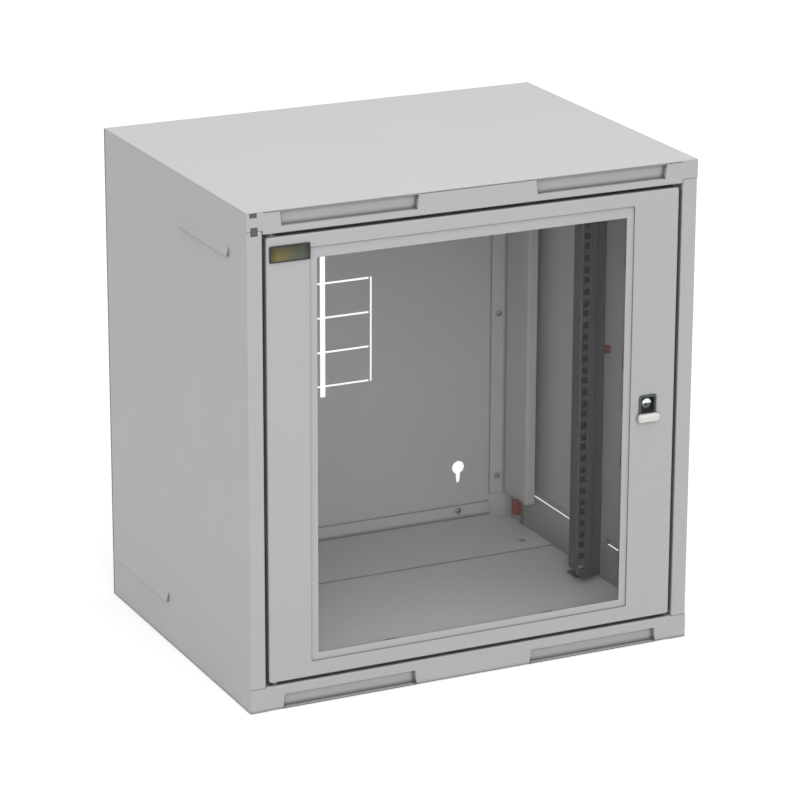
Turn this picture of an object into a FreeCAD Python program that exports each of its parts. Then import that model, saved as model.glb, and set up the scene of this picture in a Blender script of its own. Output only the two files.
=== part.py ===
"""Wall mount network cabinet: a folded sheet steel case with a glazed, hinged and lockable front door.

Frame: X runs to the right seen from the front, Y runs towards the wall and Z runs up.
The origin is in the wall plane, on the cabinet's centreline, at the level of its base.
All sizes are in millimetres.
"""
import FreeCAD, Part
import math
import os

V = FreeCAD.Vector
X_AXIS = V(1, 0, 0)
Y_AXIS = V(0, 1, 0)
Z_AXIS = V(0, 0, 1)
LEFT = -1
RIGHT = 1

# Driving sizes of the case
WIDTH = 600.0
DEPTH = 450.0
HEIGHT = 625.0
SHEET = 1.5
BEND = 2.2                 # outer radius of a sheet fold
TOUCH = 0.3                # clearance between pieces that must not touch
STILE = 20.5               # width of the folded post face beside the door
JAMB = 20.0                # depth of every fold behind the front face
SEAM = 0.5                 # open joint between a post and a cross rail
SILL = 31.5                # height of the bottom cross rail
LINTEL = 29.0              # height of the top cross rail, cover included
FLOOR = 28.0               # height of the equipment floor above the base
TRAY_SIDE = 30.0           # distance from the side of the case to the floor's edge
TRAY_FOOT = 20.0           # width of the foot that the floor and ceiling stand on
TRAY_FRONT = 24.0          # distance from the front face to the floor's front edge
TRAY_LIP = 18.0            # height of the floor's upturned rear lip
SIDE_RETURN = 29.0         # width of the side panel's bottom and top folds
REAR_FOLD = 16.0           # width of the side panel's rear fold
COVER_FOLD = 22.0          # height of the top cover's rear fold

# Finger recesses pressed into the front cross rails
RECESS_NEAR = 78.0         # from the centreline to the recess
RECESS_FAR = 257.0
RECESS_HEIGHT = 17.5
RECESS_DEPTH = 7.0
RECESS_TAPER = 2.0         # how far the ends of a recess lean

# Tab windows at the upper left corner of the front
TAB_WINDOW = (9.0, 10.5)
TAB_WINDOW_EDGE = 5.5      # from the side of the case
UPPER_TAB_HEIGHT = 5.5

# Louvres pressed into the side panels
LOUVRE_HEIGHT = 11.0
LOUVRE_DEPTH = 3.5
LOUVRE_LOW = 55.5          # from the base to the lower louvres' open edge
LOUVRE_HIGH = 63.5         # from the top to the upper louvre's open edge
LOUVRE_REAR = (12.0, 190.0)     # distance of its two ends from the wall
LOUVRE_FRONT = (243.0, 396.0)

# Rear wall
KEYHOLE_X = 200.5
KEYHOLE_Z = 101.0
KEYHOLE_R = 9.0
KEYHOLE_SLOT = 9.0         # slot width at the round head
KEYHOLE_END_R = 2.5
KEYHOLE_DROP = 19.5        # from the head's centre to the slot's end centre
KNOCKOUT_SLOT = 8.0
KNOCKOUT_LOW = 228.0
KNOCKOUT_HIGH = 440.0
KNOCKOUT_RUNGS = (243.0, 290.0, 337.5, 384.5)
KNOCKOUT_REACH = 70.0
KNOCKOUT_CUT = 3.0
KNOCKOUT_BRIDGE = 1.5      # metal left between two cuts, snapped when the panel is removed

# Rear posts
POST_REACH = 65.0
POST_FLANGE = 22.0
POST_LIP = 12.0
POST_BASE = 57.0

# 19-inch equipment rails
UNIT = 44.45               # one rack unit
UNIT_HOLES = (6.35, 22.225, 38.1)
HOLE_SPACING = 465.1       # between the two columns of square holes
RAIL_OPENING = 450.0       # clear width between the rails
SQUARE_HOLE = 9.5
RAIL_SHEET = 2.0
RAIL_BEND = 3.0
RAIL_SETBACK = 155.0       # front face of the case to the face of the rails
RAIL_FLANGE = 24.0
RAIL_STEP = 4.0
RAIL_WIDTH = 39.0
RAIL_LIP = 20.0
RAIL_WEB = 44.0
RAIL_RETURN = 20.0
RAIL_END_GAP = 7.0         # rail end to the floor and to the ceiling
RAIL_CHAMFER = 15.0
RAIL_FOOT = 26.0
UNIT_MARGIN = 10.0         # plain length that a rail keeps beyond its holes

# Cable entries in the floor and the ceiling
ENTRY_HALF = 205.0
ENTRY_NEAR = 97.0          # distance of the entry's edges from the wall
ENTRY_FAR = 143.0
ENTRY_COVER_LAP = 7.0
ENTRY_COVER_SIDE = 2.0
ENTRY_COVER_SHEET = 1.2

# Door
DOOR_GAP_SIDE = 4.5
DOOR_GAP_BOTTOM = 4.0
DOOR_GAP_TOP = 4.0
DOOR_DEPTH = 18.0
DOOR_CORNER = 3.5
WINDOW_LEFT = 65.5         # door edge to window edge
WINDOW_RIGHT = 71.5
WINDOW_BOTTOM = 29.5
WINDOW_TOP = 31.0
WINDOW_CORNER = 1.5
REBATE = 10.0              # width of the pressed band round the window
REBATE_TOP = 14.0
REBATE_DEPTH = 1.4
GLASS = 4.0
GLASS_LAP = 9.0
SEAL = 0.8
SEAL_WIDTH = 7.0

# Glass clips
CLIP_SHEET = 1.0
CLIP_BEND = 1.5
CLIP_WIDTH = 16.0
CLIP_TONGUE = 8.0
CLIPS_PER_SIDE = 4
CLIPS_PER_END = 2
STUD_R = 2.0

# Door hinge
HINGE_INSET = 10.0          # hinge axis from the door's edge and from its face
PIN_R = 2.5
PIN_FIT = 0.06             # radial running clearance of a hinge pin
BUSH_R = 3.8
BUSH_FLANGE_R = 6.0
BUSH_FLANGE = 1.0
BUSH_LENGTH = 8.0
COLLAR_R = 4.5
PIN_RISE = 18.0            # length of the lower pin above its collar
PIN_HEAD_R = 4.5
PIN_HEAD = 2.5
PIN_TRAVEL = 8.0           # how far the upper pin is pulled down to lift the door out
PIN_ENTRY = 5.0            # length of the upper pin inside the lintel and above it
GUIDE_DROP = 26.0
GUIDE_WIDTH = 13.0
PULL_LENGTH = 14.0
PULL_BEND = 5.0
SPRING_WIRE_R = 0.4
SPRING_R = 3.8
SPRING_TURNS = 6

# Lock
LOCK_FROM_EDGE = 37.5      # door edge to the lock's centreline
LOCK_WIDTH = 24.5
LOCK_HEIGHT = 35.0
LOCK_CORNER = 4.0
LOCK_PROUD = 1.2
LOCK_RIM = 1.0             # bezel's overlap on the door around its opening
LOCK_CUP_WALL = 1.6
LOCK_CUP_DEPTH = 10.0
LOCK_LIP_WIDTH = 28.0
LOCK_LIP_HEIGHT = 11.0
LOCK_LIP_REACH = 5.8
LOCK_LIP_CORNER = 4.0
LIP_PEG_R = 1.2
LIP_PEG_LENGTH = 3.5
LIP_PEG_SPREAD = 8.0
KEY_CAP_SHEET = 1.0
BARREL_R = 7.0
PLUG_R = 5.2
PLUG_FIT = 0.08
KEY_SQUARE = 5.0
BARREL_LENGTH = 14.0
LOCK_NUT_SIZE = 19.0
LOCK_NUT_HEIGHT = 3.5
CAM_SHEET = 2.0
CAM_WIDTH = 14.0
CAM_REACH = 50.0
CAM_SCREW_R = 1.5
CAM_SCREW_LENGTH = 8.0
CAM_CLEAR = 1.5            # gap between the end of the jamb and the closed cam

# Fasteners
M4_R = 2.0
M4_HEAD_R = 3.8
M4_HEAD = 2.4
M6_R = 3.0
M6_HEAD_R = 5.6
M6_HEAD = 3.4
M6_NUT_SIZE = 10.0
M6_NUT_HEIGHT = 5.0
M4_NUT_SIZE = 7.0
M4_NUT_HEIGHT = 3.2
SCREW_FIT = 0.25           # radial clearance of a screw in its hole

# Door stops
STOP_WIDTH = 16.0
STOP_FOOT = 18.0
BUFFER_R = 4.0
BUFFER_LENGTH = 3.5
BUFFER_STEM_R = 1.8
BUFFER_FIT = 0.05
BUFFER_BARB = 0.4

# Plastic clips
POST_CLIP = (9.0, 14.0, 18.0)
RAIL_CLIP = (11.0, 9.0, 9.0)
RAIL_CLIP_STEM_R = 2.0
CLIP_EDGE = 1.5

# Places worked out from the driving sizes
HALF = WIDTH / 2
FRONT = -DEPTH
CORE = HEIGHT - SHEET
CEILING = CORE - FLOOR
JAMB_X = HALF - STILE
JAMB_END = FRONT + JAMB
LINTEL_Z = HEIGHT - LINTEL
SEAM_LOW = SILL - 2 * SEAM
SEAM_HIGH = LINTEL_Z + SHEET + 4.0
TRAY_X = HALF - TRAY_SIDE
REAR_FACE = -SHEET
RAIL_Y = FRONT + RAIL_SETBACK
RAIL_LOW = FLOOR + RAIL_END_GAP
RAIL_HIGH = CEILING - RAIL_END_GAP
RAIL_UNITS = int((RAIL_HIGH - RAIL_LOW - 2 * UNIT_MARGIN) // UNIT)
FIRST_UNIT_Z = (RAIL_LOW + RAIL_HIGH - RAIL_UNITS * UNIT) / 2
DOOR_X = JAMB_X - DOOR_GAP_SIDE
DOOR_LOW = SILL + DOOR_GAP_BOTTOM
DOOR_HIGH = LINTEL_Z - DOOR_GAP_TOP
DOOR_BACK = FRONT + DOOR_DEPTH
DOOR_INNER = FRONT + SHEET
WINDOW = (-DOOR_X + WINDOW_LEFT, DOOR_LOW + WINDOW_BOTTOM, DOOR_X - WINDOW_RIGHT, DOOR_HIGH - WINDOW_TOP)
GLASS_FRONT = FRONT + REBATE_DEPTH + SHEET + SEAL
GLASS_BACK = GLASS_FRONT + GLASS
CLIP_FOOT = min(WINDOW_TOP, WINDOW_BOTTOM) - REBATE_TOP - SHEET - BEND - TOUCH - 2 * CLIP_SHEET
HINGE_X = -DOOR_X + HINGE_INSET
HINGE_Y = FRONT + HINGE_INSET
LOCK_X = DOOR_X - LOCK_FROM_EDGE
LOCK_Z = (DOOR_LOW + DOOR_HIGH) / 2
MIDDLE = CORE / 2


def block(low, high):
    """Box between two opposite corners."""
    return Part.makeBox(high[0] - low[0], high[1] - low[1], high[2] - low[2], V(*low))


def rod(start, axis, radius, length):
    """Round bar from a start point along an axis."""
    return Part.makeCylinder(radius, length, V(*start), axis)


def fused(shapes):
    """One clean solid out of shapes that overlap or share a face."""
    return shapes[0].multiFuse(shapes[1:]).removeSplitter()


def mirrored_x(shape):
    """The same shape on the other side of the cabinet's middle plane."""
    return shape.mirror(V(0, 0, 0), X_AXIS)


def mirrored_z(shape):
    """The same shape turned over about the middle height of the case."""
    return shape.mirror(V(0, 0, MIDDLE), Z_AXIS)


def on_side(side, shape):
    """A shape drawn on the right, placed on the side asked for."""
    if side == RIGHT:
        return shape
    return mirrored_x(shape)


def bent_line(points, radius):
    """Flat path through the points whose corners are arcs of one radius."""
    edges = []
    last = V(*points[0])
    for before, corner, after in zip(points, points[1:], points[2:]):
        corner = V(*corner)
        back = (V(*before) - corner).normalize()
        ahead = (V(*after) - corner).normalize()
        half_angle = back.getAngle(ahead) / 2
        run = radius / math.tan(half_angle)
        middle = corner + (back + ahead).normalize() * (radius / math.sin(half_angle) - radius)
        edges.append(Part.makeLine(last, corner + back * run))
        edges.append(Part.Arc(corner + back * run, middle, corner + ahead * run).toShape())
        last = corner + ahead * run
    edges.append(Part.makeLine(last, V(*points[-1])))
    return Part.Wire(edges)


def folded_sheet(points, thickness, travel, bend=BEND):
    """Sheet folded along the points, with its thickness on the side given by the sign, drawn out along travel."""
    profile = bent_line(points, bend).makeOffset2D(thickness, 0, True, True)
    return profile.Faces[0].extrude(travel)


def in_plan(points, low):
    """Points drawn in the XY plane at one height."""
    return [(x, y, low) for x, y in points]


def slab(outline, y_front, thickness):
    """Plate of an outline given as X and Z, from one Y plane towards the wall."""
    corners = [V(x, y_front, z) for x, z in outline]
    return Part.Face(Part.makePolygon(corners + corners[:1])).extrude(V(0, thickness, 0))


def rounded_plate(low_x, low_z, high_x, high_z, y_front, thickness, radius):
    """Upright plate with four rounded corners."""
    plate = block((low_x, y_front, low_z), (high_x, y_front + thickness, high_z))
    corners = [edge for edge in plate.Edges if abs(edge.tangentAt(edge.FirstParameter).y) > 0.9]
    return plate.makeFillet(radius, corners)


def softened(body, size):
    """Moulded block with its upright edges chamfered."""
    upright = [edge for edge in body.Edges if abs(edge.tangentAt(edge.FirstParameter).z) > 0.9]
    return body.makeChamfer(size, upright)


def hexagon(start, axis, size, height, bore):
    """Nut: a hexagon of a width across flats, with a bore."""
    reach = size / 2 / math.cos(math.pi / 6)
    side = V(0, 1, 0) if abs(axis.z) > 0.5 else V(0, 0, 1)
    across = axis.cross(side)
    corners = []
    for step in range(6):
        angle = math.radians(60 * step)
        corners.append(V(*start) + side * (reach * math.cos(angle)) + across * (reach * math.sin(angle)))
    body = Part.Face(Part.makePolygon(corners + corners[:1])).extrude(axis * height)
    return body.cut(rod(start, axis, bore, height))


def screw(seat, axis, radius, head_radius, head_height, length):
    """Pan head screw: its head stands on the seat and its shank runs along the axis."""
    head = rod(seat, axis * -1, head_radius, head_height)
    crown = [edge for edge in head.Edges if abs((edge.CenterOfMass - V(*seat)).dot(axis) + head_height) < 0.01]
    head = head.makeChamfer(head_height * 0.4, crown)
    return head.fuse(rod(seat, axis, radius, length))


# Front cross rails

def recess_outline(outer, inward):
    """Outline of one finger recess on the right, with leaning ends."""
    bottom = outer + inward * RECESS_HEIGHT
    return [
        (RECESS_NEAR, outer),
        (RECESS_NEAR + RECESS_TAPER, bottom),
        (RECESS_FAR - RECESS_TAPER, bottom),
        (RECESS_FAR, outer),
    ]


def recess_voids(outer, inward):
    """The two spaces that the finger recesses leave in a cross rail."""
    void = slab(recess_outline(outer, inward), FRONT, RECESS_DEPTH)
    return [void, mirrored_x(void)]


def front_rail(outer, inner, seam, recess_from):
    """Channel across the front of the case, with two recesses pressed in beside its outer edge."""
    inward = 1 if inner > outer else -1
    clear = JAMB_X - TOUCH
    path = [(-clear, JAMB_END, outer), (-clear, FRONT, outer), (-clear, FRONT, inner), (-clear, JAMB_END, inner)]
    channel = folded_sheet(path, SHEET * inward, V(2 * clear, 0, 0))
    pieces = [channel]
    for side in (LEFT, RIGHT):
        cheek = block((clear - 1, FRONT, min(outer, seam)), (HALF, DOOR_INNER, max(outer, seam)))
        pieces.append(on_side(side, cheek))
    pan_low = RECESS_NEAR - SHEET
    pan_high = RECESS_FAR + SHEET
    ledge = recess_from + inward * (RECESS_HEIGHT + SHEET)
    outline = [(pan_low, outer), (pan_low + RECESS_TAPER, ledge), (pan_high - RECESS_TAPER, ledge), (pan_high, outer)]
    pan = slab(outline, FRONT + SHEET / 2, RECESS_DEPTH + SHEET / 2)
    pieces += [pan, mirrored_x(pan)]
    rail = fused(pieces)
    for void in recess_voids(recess_from, inward):
        rail = rail.cut(void)
    hinge_hole = rod((HINGE_X, HINGE_Y, min(inner, inner - inward * SHEET)), Z_AXIS, PIN_R + PIN_FIT, SHEET)
    return rail.cut(hinge_hole)


def tab_windows():
    """Two small windows at the upper left corner, where the post hooks into the cross rail."""
    left = -HALF + TAB_WINDOW_EDGE
    width, height = TAB_WINDOW
    low = SEAM_HIGH - height / 2 - SEAM
    lower = block((left, FRONT - 1, low), (left + width, DOOR_INNER + 1, low + height))
    high = CORE - UPPER_TAB_HEIGHT
    upper = block((left - 1, FRONT - 1, high), (left + width - 1, DOOR_INNER + 1, CORE))
    return lower, upper


# Case

def louvre(side, ends, base):
    """Hood and void of one louvre: the sheet is pressed out of the case above its open lower edge."""
    near, far = ends
    inner = HALF - SHEET
    top = base + LOUVRE_HEIGHT

    def prism(outline, start, length):
        corners = [V(x, start, z) for x, z in outline]
        return Part.Face(Part.makePolygon(corners + corners[:1])).extrude(V(0, length, 0))

    hood = prism(
        [(inner, base), (inner, top + SHEET), (HALF, top + SHEET), (HALF + LOUVRE_DEPTH, base)],
        -far - SHEET, far - near + 2 * SHEET
    )
    void = prism(
        [(inner - 1, base), (inner - 1, top), (inner, top), (inner + LOUVRE_DEPTH, base)],
        -far, far - near
    )
    return on_side(side, hood), on_side(side, void)


def side_panel(side, louvres):
    """Side of the case, folded into the front post and the rear fold, with returns at the base and the top."""
    plan = [
        (HALF - REAR_FOLD, REAR_FACE),
        (HALF, REAR_FACE),
        (HALF, FRONT),
        (JAMB_X, FRONT),
        (JAMB_X, JAMB_END),
    ]
    panel = folded_sheet(in_plan(plan, 0), SHEET, V(0, 0, CORE))
    relief = HALF - SHEET - BEND
    for low, high in ((0, SEAM_LOW + SEAM), (SEAM_HIGH - SEAM, CORE)):
        panel = panel.cut(block((JAMB_X - 1, FRONT - 1, low), (relief, JAMB_END + 1, high)))
        panel = panel.cut(block((relief - 1, FRONT - 1, low), (HALF + 1, DOOR_INNER, high)))
    for low in (0, CORE - SHEET):
        fold = block((HALF - SIDE_RETURN, JAMB_END + 2 * TOUCH, low), (HALF - SHEET / 2, -2 * SHEET, low + SHEET))
        panel = panel.fuse(fold)
    panel = on_side(side, panel)
    for ends, base in louvres:
        hood, void = louvre(side, ends, base)
        panel = panel.fuse(hood).cut(void)
    for window in tab_windows():
        panel = panel.cut(window)
    return panel.removeSplitter()


def top_cover():
    """Flat cover with a rear fold."""
    sheet = block((-HALF, FRONT, CORE), (HALF, 0, HEIGHT))
    rim = [edge for edge in sheet.Edges if abs(edge.CenterOfMass.z - HEIGHT) < 0.01]
    sheet = sheet.makeFillet(SHEET * 0.6, rim)
    fold_x = TRAY_X - POST_FLANGE
    fold = block((-fold_x, -2 * SHEET, CORE - COVER_FOLD), (fold_x, REAR_FACE, CORE))
    return sheet.fuse(fold).removeSplitter()


def tray(opening):
    """Floor of the case: a tray turned over, standing on two feet, with an upturned lip at the wall."""
    foot = SHEET
    outer = TRAY_X + TRAY_FOOT
    path = [(outer, 0, 2 * foot), (TRAY_X, 0, 2 * foot), (TRAY_X, 0, FLOOR)]
    path += [(-x, y, z) for x, y, z in reversed(path)]
    path = [(x, FRONT + TRAY_FRONT, z) for x, _, z in path]
    sheet = folded_sheet(path, SHEET, V(0, DEPTH - TRAY_FRONT - 2 * SHEET - REAR_FOLD, 0))
    lip_x = TRAY_X - POST_FLANGE - TOUCH
    deck = block((-lip_x, -2 * SHEET - REAR_FOLD - 1, FLOOR - SHEET), (lip_x, REAR_FACE, FLOOR))
    lip = block((-lip_x, -2 * SHEET, FLOOR - SHEET), (lip_x, REAR_FACE, FLOOR + TRAY_LIP))
    shell = fused([sheet, deck, lip])
    return shell.cut(opening)


def entry_void():
    """Opening for cables through the floor, long and rounded."""
    void = block((-ENTRY_HALF, -ENTRY_FAR, FLOOR - 2 * SHEET), (ENTRY_HALF, -ENTRY_NEAR, FLOOR + SHEET))
    corners = [edge for edge in void.Edges if abs(edge.tangentAt(edge.FirstParameter).z) > 0.9]
    return void.makeFillet(8.0, corners)


def entry_cover_places():
    """Where the cable entry cover is screwed down."""
    y = -(ENTRY_NEAR + ENTRY_FAR) / 2
    x = (ENTRY_HALF + TRAY_X) / 2
    return [(-x, y), (x, y)]


def entry_cover():
    """Plate over the floor's cable entry, with its two long edges folded up a little."""
    half = TRAY_X - ENTRY_COVER_SIDE
    near = -ENTRY_NEAR + ENTRY_COVER_LAP
    far = -ENTRY_FAR - ENTRY_COVER_LAP
    plate = block((-half, far, FLOOR), (half, near, FLOOR + ENTRY_COVER_SHEET))
    for x, y in entry_cover_places():
        plate = plate.cut(rod((x, y, FLOOR), Z_AXIS, M4_R + SCREW_FIT, ENTRY_COVER_SHEET))
    return plate


def rail_foot_places():
    """Where the foot of each rail is bolted to the floor, on the right and on the left."""
    x = RAIL_OPENING / 2 + RAIL_WIDTH - RAIL_SHEET - RAIL_FOOT / 2
    y = RAIL_Y + RAIL_STEP + RAIL_WEB - RAIL_FOOT / 2 - RAIL_SHEET
    return [(x, y), (-x, y)]


def floor_panel():
    """Floor with its cable entry and the holes for the rails and covers."""
    floor = tray(entry_void())
    for x, y in rail_foot_places():
        floor = floor.cut(rod((x, y, FLOOR - SHEET), Z_AXIS, M6_R + SCREW_FIT, SHEET))
    for x, y in entry_cover_places():
        floor = floor.cut(rod((x, y, FLOOR - SHEET), Z_AXIS, M4_R + SCREW_FIT, SHEET))
    for x, z in rear_screw_places():
        floor = floor.cut(rod((x, -2 * SHEET, z), Y_AXIS, M4_R + SCREW_FIT, SHEET))
    return floor


def rear_screw_places():
    """Screws that hold the floor's rear lip to the rear wall."""
    z = FLOOR + TRAY_LIP * 0.6
    return [(-KEYHOLE_X, z), (KEYHOLE_X, z)]


def post_screw_places():
    """Screws that hold a rear post to the rear wall, on the right."""
    x = TRAY_X - POST_FLANGE / 2
    return [(x, POST_BASE + 24.0), (x, MIDDLE), (x, CORE - POST_BASE - 24.0)]


def keyhole(x, z):
    """Keyhole through the rear wall: a round head with a slot that narrows downwards."""
    head = rod((x, -2 * SHEET, z), Y_AXIS, KEYHOLE_R, 3 * SHEET)
    end = rod((x, -2 * SHEET, z - KEYHOLE_DROP), Y_AXIS, KEYHOLE_END_R, 3 * SHEET)
    outline = [
        (x - KEYHOLE_SLOT / 2, z),
        (x - KEYHOLE_END_R, z - KEYHOLE_DROP),
        (x + KEYHOLE_END_R, z - KEYHOLE_DROP),
        (x + KEYHOLE_SLOT / 2, z),
    ]
    return fused([head, end, slab(outline, -2 * SHEET, 3 * SHEET)])


def knockout_cuts():
    """Centre slot and cuts that leave cable entry panels hanging on small bridges."""
    def cut(low_x, low_z, high_x, high_z):
        return block((low_x, -2 * SHEET, low_z), (high_x, SHEET, high_z))

    half_slot = KNOCKOUT_SLOT / 2
    half_cut = KNOCKOUT_CUT / 2
    cuts = [cut(-half_slot, KNOCKOUT_LOW, half_slot, KNOCKOUT_HIGH)]
    rung_end = KNOCKOUT_REACH - half_cut - KNOCKOUT_BRIDGE
    for side in (LEFT, RIGHT):
        for z in KNOCKOUT_RUNGS:
            cuts.append(on_side(side, cut(0, z - half_cut, rung_end, z + half_cut)))
        low, high = KNOCKOUT_RUNGS[0] - half_cut, KNOCKOUT_RUNGS[-1] + half_cut
        cuts.append(on_side(side, cut(KNOCKOUT_REACH - half_cut, low, KNOCKOUT_REACH + half_cut, high)))
    return cuts


def back_panel():
    """Rear wall with four keyholes, cable knockouts and its screw holes."""
    wall = block((-HALF, REAR_FACE, 0), (HALF, 0, CORE))
    for side in (LEFT, RIGHT):
        hole = keyhole(side * KEYHOLE_X, KEYHOLE_Z)
        wall = wall.cut(hole).cut(mirrored_z(hole))
    for cut in knockout_cuts():
        wall = wall.cut(cut)
    for x, z in rear_screw_places():
        hole = rod((x, REAR_FACE, z), Y_AXIS, M4_R + SCREW_FIT, SHEET)
        wall = wall.cut(hole).cut(mirrored_z(hole))
    for x, z in post_screw_places():
        for side in (LEFT, RIGHT):
            wall = wall.cut(rod((side * x, REAR_FACE, z), Y_AXIS, M4_R + SCREW_FIT, SHEET))
    return wall


def rear_post(side):
    """Channel up the rear corner that screens the side and carries cables."""
    web = TRAY_X + SHEET
    plan = [
        (web - POST_FLANGE - SHEET, REAR_FACE),
        (web, REAR_FACE),
        (web, -POST_REACH),
        (web + POST_LIP, -POST_REACH),
    ]
    post = folded_sheet(in_plan(plan, POST_BASE), SHEET, V(0, 0, CORE - 2 * POST_BASE))
    for x, z in post_screw_places():
        post = post.cut(rod((x, -2 * SHEET, z), Y_AXIS, M4_R + SCREW_FIT, SHEET))
    return on_side(side, post)


def wall_screws():
    """Pan head screws of the rear wall, driven from inside the case."""
    screws = []
    length = 2 * SHEET - TOUCH
    for x, z in rear_screw_places():
        fastener = screw((x, -2 * SHEET, z), Y_AXIS, M4_R, M4_HEAD_R, M4_HEAD, length)
        screws += [fastener, mirrored_z(fastener)]
    for x, z in post_screw_places():
        fastener = screw((x, -2 * SHEET, z), Y_AXIS, M4_R, M4_HEAD_R, M4_HEAD, length)
        screws += [fastener, mirrored_x(fastener)]
    return screws


def cover_screws():
    """Screws of the two cable entry covers."""
    screws = []
    for x, y in entry_cover_places():
        seat = (x, y, FLOOR + ENTRY_COVER_SHEET)
        fastener = screw(seat, Z_AXIS * -1, M4_R, M4_HEAD_R, M4_HEAD, 8.0)
        screws += [fastener, mirrored_z(fastener)]
    return screws


# 19-inch rails

def square_holes():
    """Square holes of one rail: three to each rack unit."""
    half = SQUARE_HOLE / 2
    x = HOLE_SPACING / 2
    holes = []
    for unit in range(RAIL_UNITS):
        for height in UNIT_HOLES:
            z = FIRST_UNIT_Z + unit * UNIT + height
            low = (x - half, RAIL_Y - 1, z - half)
            holes.append(block(low, (x + half, RAIL_Y + RAIL_SHEET + 1, z + half)))
    return Part.makeCompound(holes)


def rack_rail(side):
    """Folded rail: inner lip, holed front flange, set back shoulder, web, rear return and a foot at each end."""
    inner = RAIL_OPENING / 2
    outer = inner + RAIL_WIDTH
    shoulder = RAIL_Y + RAIL_STEP
    plan = [
        (inner, RAIL_Y + RAIL_LIP),
        (inner, RAIL_Y),
        (inner + RAIL_FLANGE - RAIL_STEP / 2, RAIL_Y),
        (inner + RAIL_FLANGE + RAIL_STEP / 2, shoulder),
        (outer, shoulder),
        (outer, shoulder + RAIL_WEB),
        (outer - RAIL_RETURN, shoulder + RAIL_WEB),
    ]
    length = RAIL_HIGH - RAIL_LOW
    rail = folded_sheet(in_plan(plan, RAIL_LOW), -RAIL_SHEET, V(0, 0, length), bend=RAIL_BEND)
    rail = rail.cut(square_holes())
    corner = [
        (inner - 1, RAIL_LOW - 1),
        (inner + RAIL_CHAMFER * 0.6, RAIL_LOW - 1),
        (inner - 1, RAIL_LOW + RAIL_CHAMFER),
    ]
    chamfer = slab(corner, RAIL_Y - 1, RAIL_LIP + 2)
    rail = rail.cut(chamfer).cut(mirrored_z(chamfer))
    clip_hole = rod(rail_clip_place(), X_AXIS * -1, RAIL_CLIP_STEM_R + 0.05, 2 * RAIL_SHEET)
    rail = rail.cut(clip_hole)
    foot_back = shoulder + RAIL_WEB
    foot_front = foot_back - RAIL_FOOT
    web = [
        (outer, foot_front, RAIL_LOW + 1),
        (outer, foot_front, FLOOR),
        (outer - RAIL_FOOT, foot_front, FLOOR),
    ]
    foot = folded_sheet(web, -RAIL_SHEET, V(0, foot_back - foot_front, 0), bend=RAIL_BEND)
    x, y = rail_foot_places()[0]
    foot = foot.cut(rod((x, y, FLOOR), Z_AXIS, M6_R + SCREW_FIT, RAIL_SHEET))
    return on_side(side, fused([rail, foot, mirrored_z(foot)]))


def rail_clip_place():
    """Centre of the plastic stop's hole in the right rail's web."""
    return RAIL_OPENING / 2 + RAIL_WIDTH, RAIL_Y + RAIL_STEP + RAIL_CLIP[1], MIDDLE + UNIT / 2 + RAIL_CLIP[2] / 2


def rail_screws():
    """Screws through the feet of the rails into the floor and the ceiling."""
    screws = []
    for x, y in rail_foot_places():
        seat = (x, y, FLOOR + RAIL_SHEET)
        fastener = screw(seat, Z_AXIS * -1, M6_R, M6_HEAD_R, M6_HEAD, 12.0)
        screws += [fastener, mirrored_z(fastener)]
    return screws


def rail_nuts():
    """Nuts of the rail screws, against the hidden side of the floor and the ceiling."""
    nuts = []
    for x, y in rail_foot_places():
        nut = hexagon((x, y, FLOOR - SHEET), Z_AXIS * -1, M6_NUT_SIZE, M6_NUT_HEIGHT, M6_R + 0.02)
        nuts += [nut, mirrored_z(nut)]
    return nuts


# Plastic clips

def post_clips():
    """Plastic plug at the foot and the head of each rear post."""
    clips = []
    width, depth, height = POST_CLIP
    x = TRAY_X - width + SHEET
    y = -POST_REACH + 12.0
    for side in (LEFT, RIGHT):
        body = block((x, y, POST_BASE - height), (x + width, y + depth, POST_BASE))
        clip = on_side(side, softened(body, CLIP_EDGE))
        clips += [clip, mirrored_z(clip)]
    return clips


def rail_clips():
    """Plastic stop plugged into the outer face of each rail's web."""
    clips = []
    width, depth, height = RAIL_CLIP
    outer = RAIL_OPENING / 2 + RAIL_WIDTH
    x, y, z = rail_clip_place()
    body = block((outer, y - depth / 2, z - height / 2), (outer + width, y + depth / 2, z + height / 2))
    stem = rod((x + 1.0, y, z), X_AXIS * -1, RAIL_CLIP_STEM_R, 1.0 + RAIL_SHEET + 1.0)
    clip = softened(body, CLIP_EDGE).fuse(stem)
    for side in (LEFT, RIGHT):
        clips.append(on_side(side, clip))
    return clips


# Door

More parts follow.
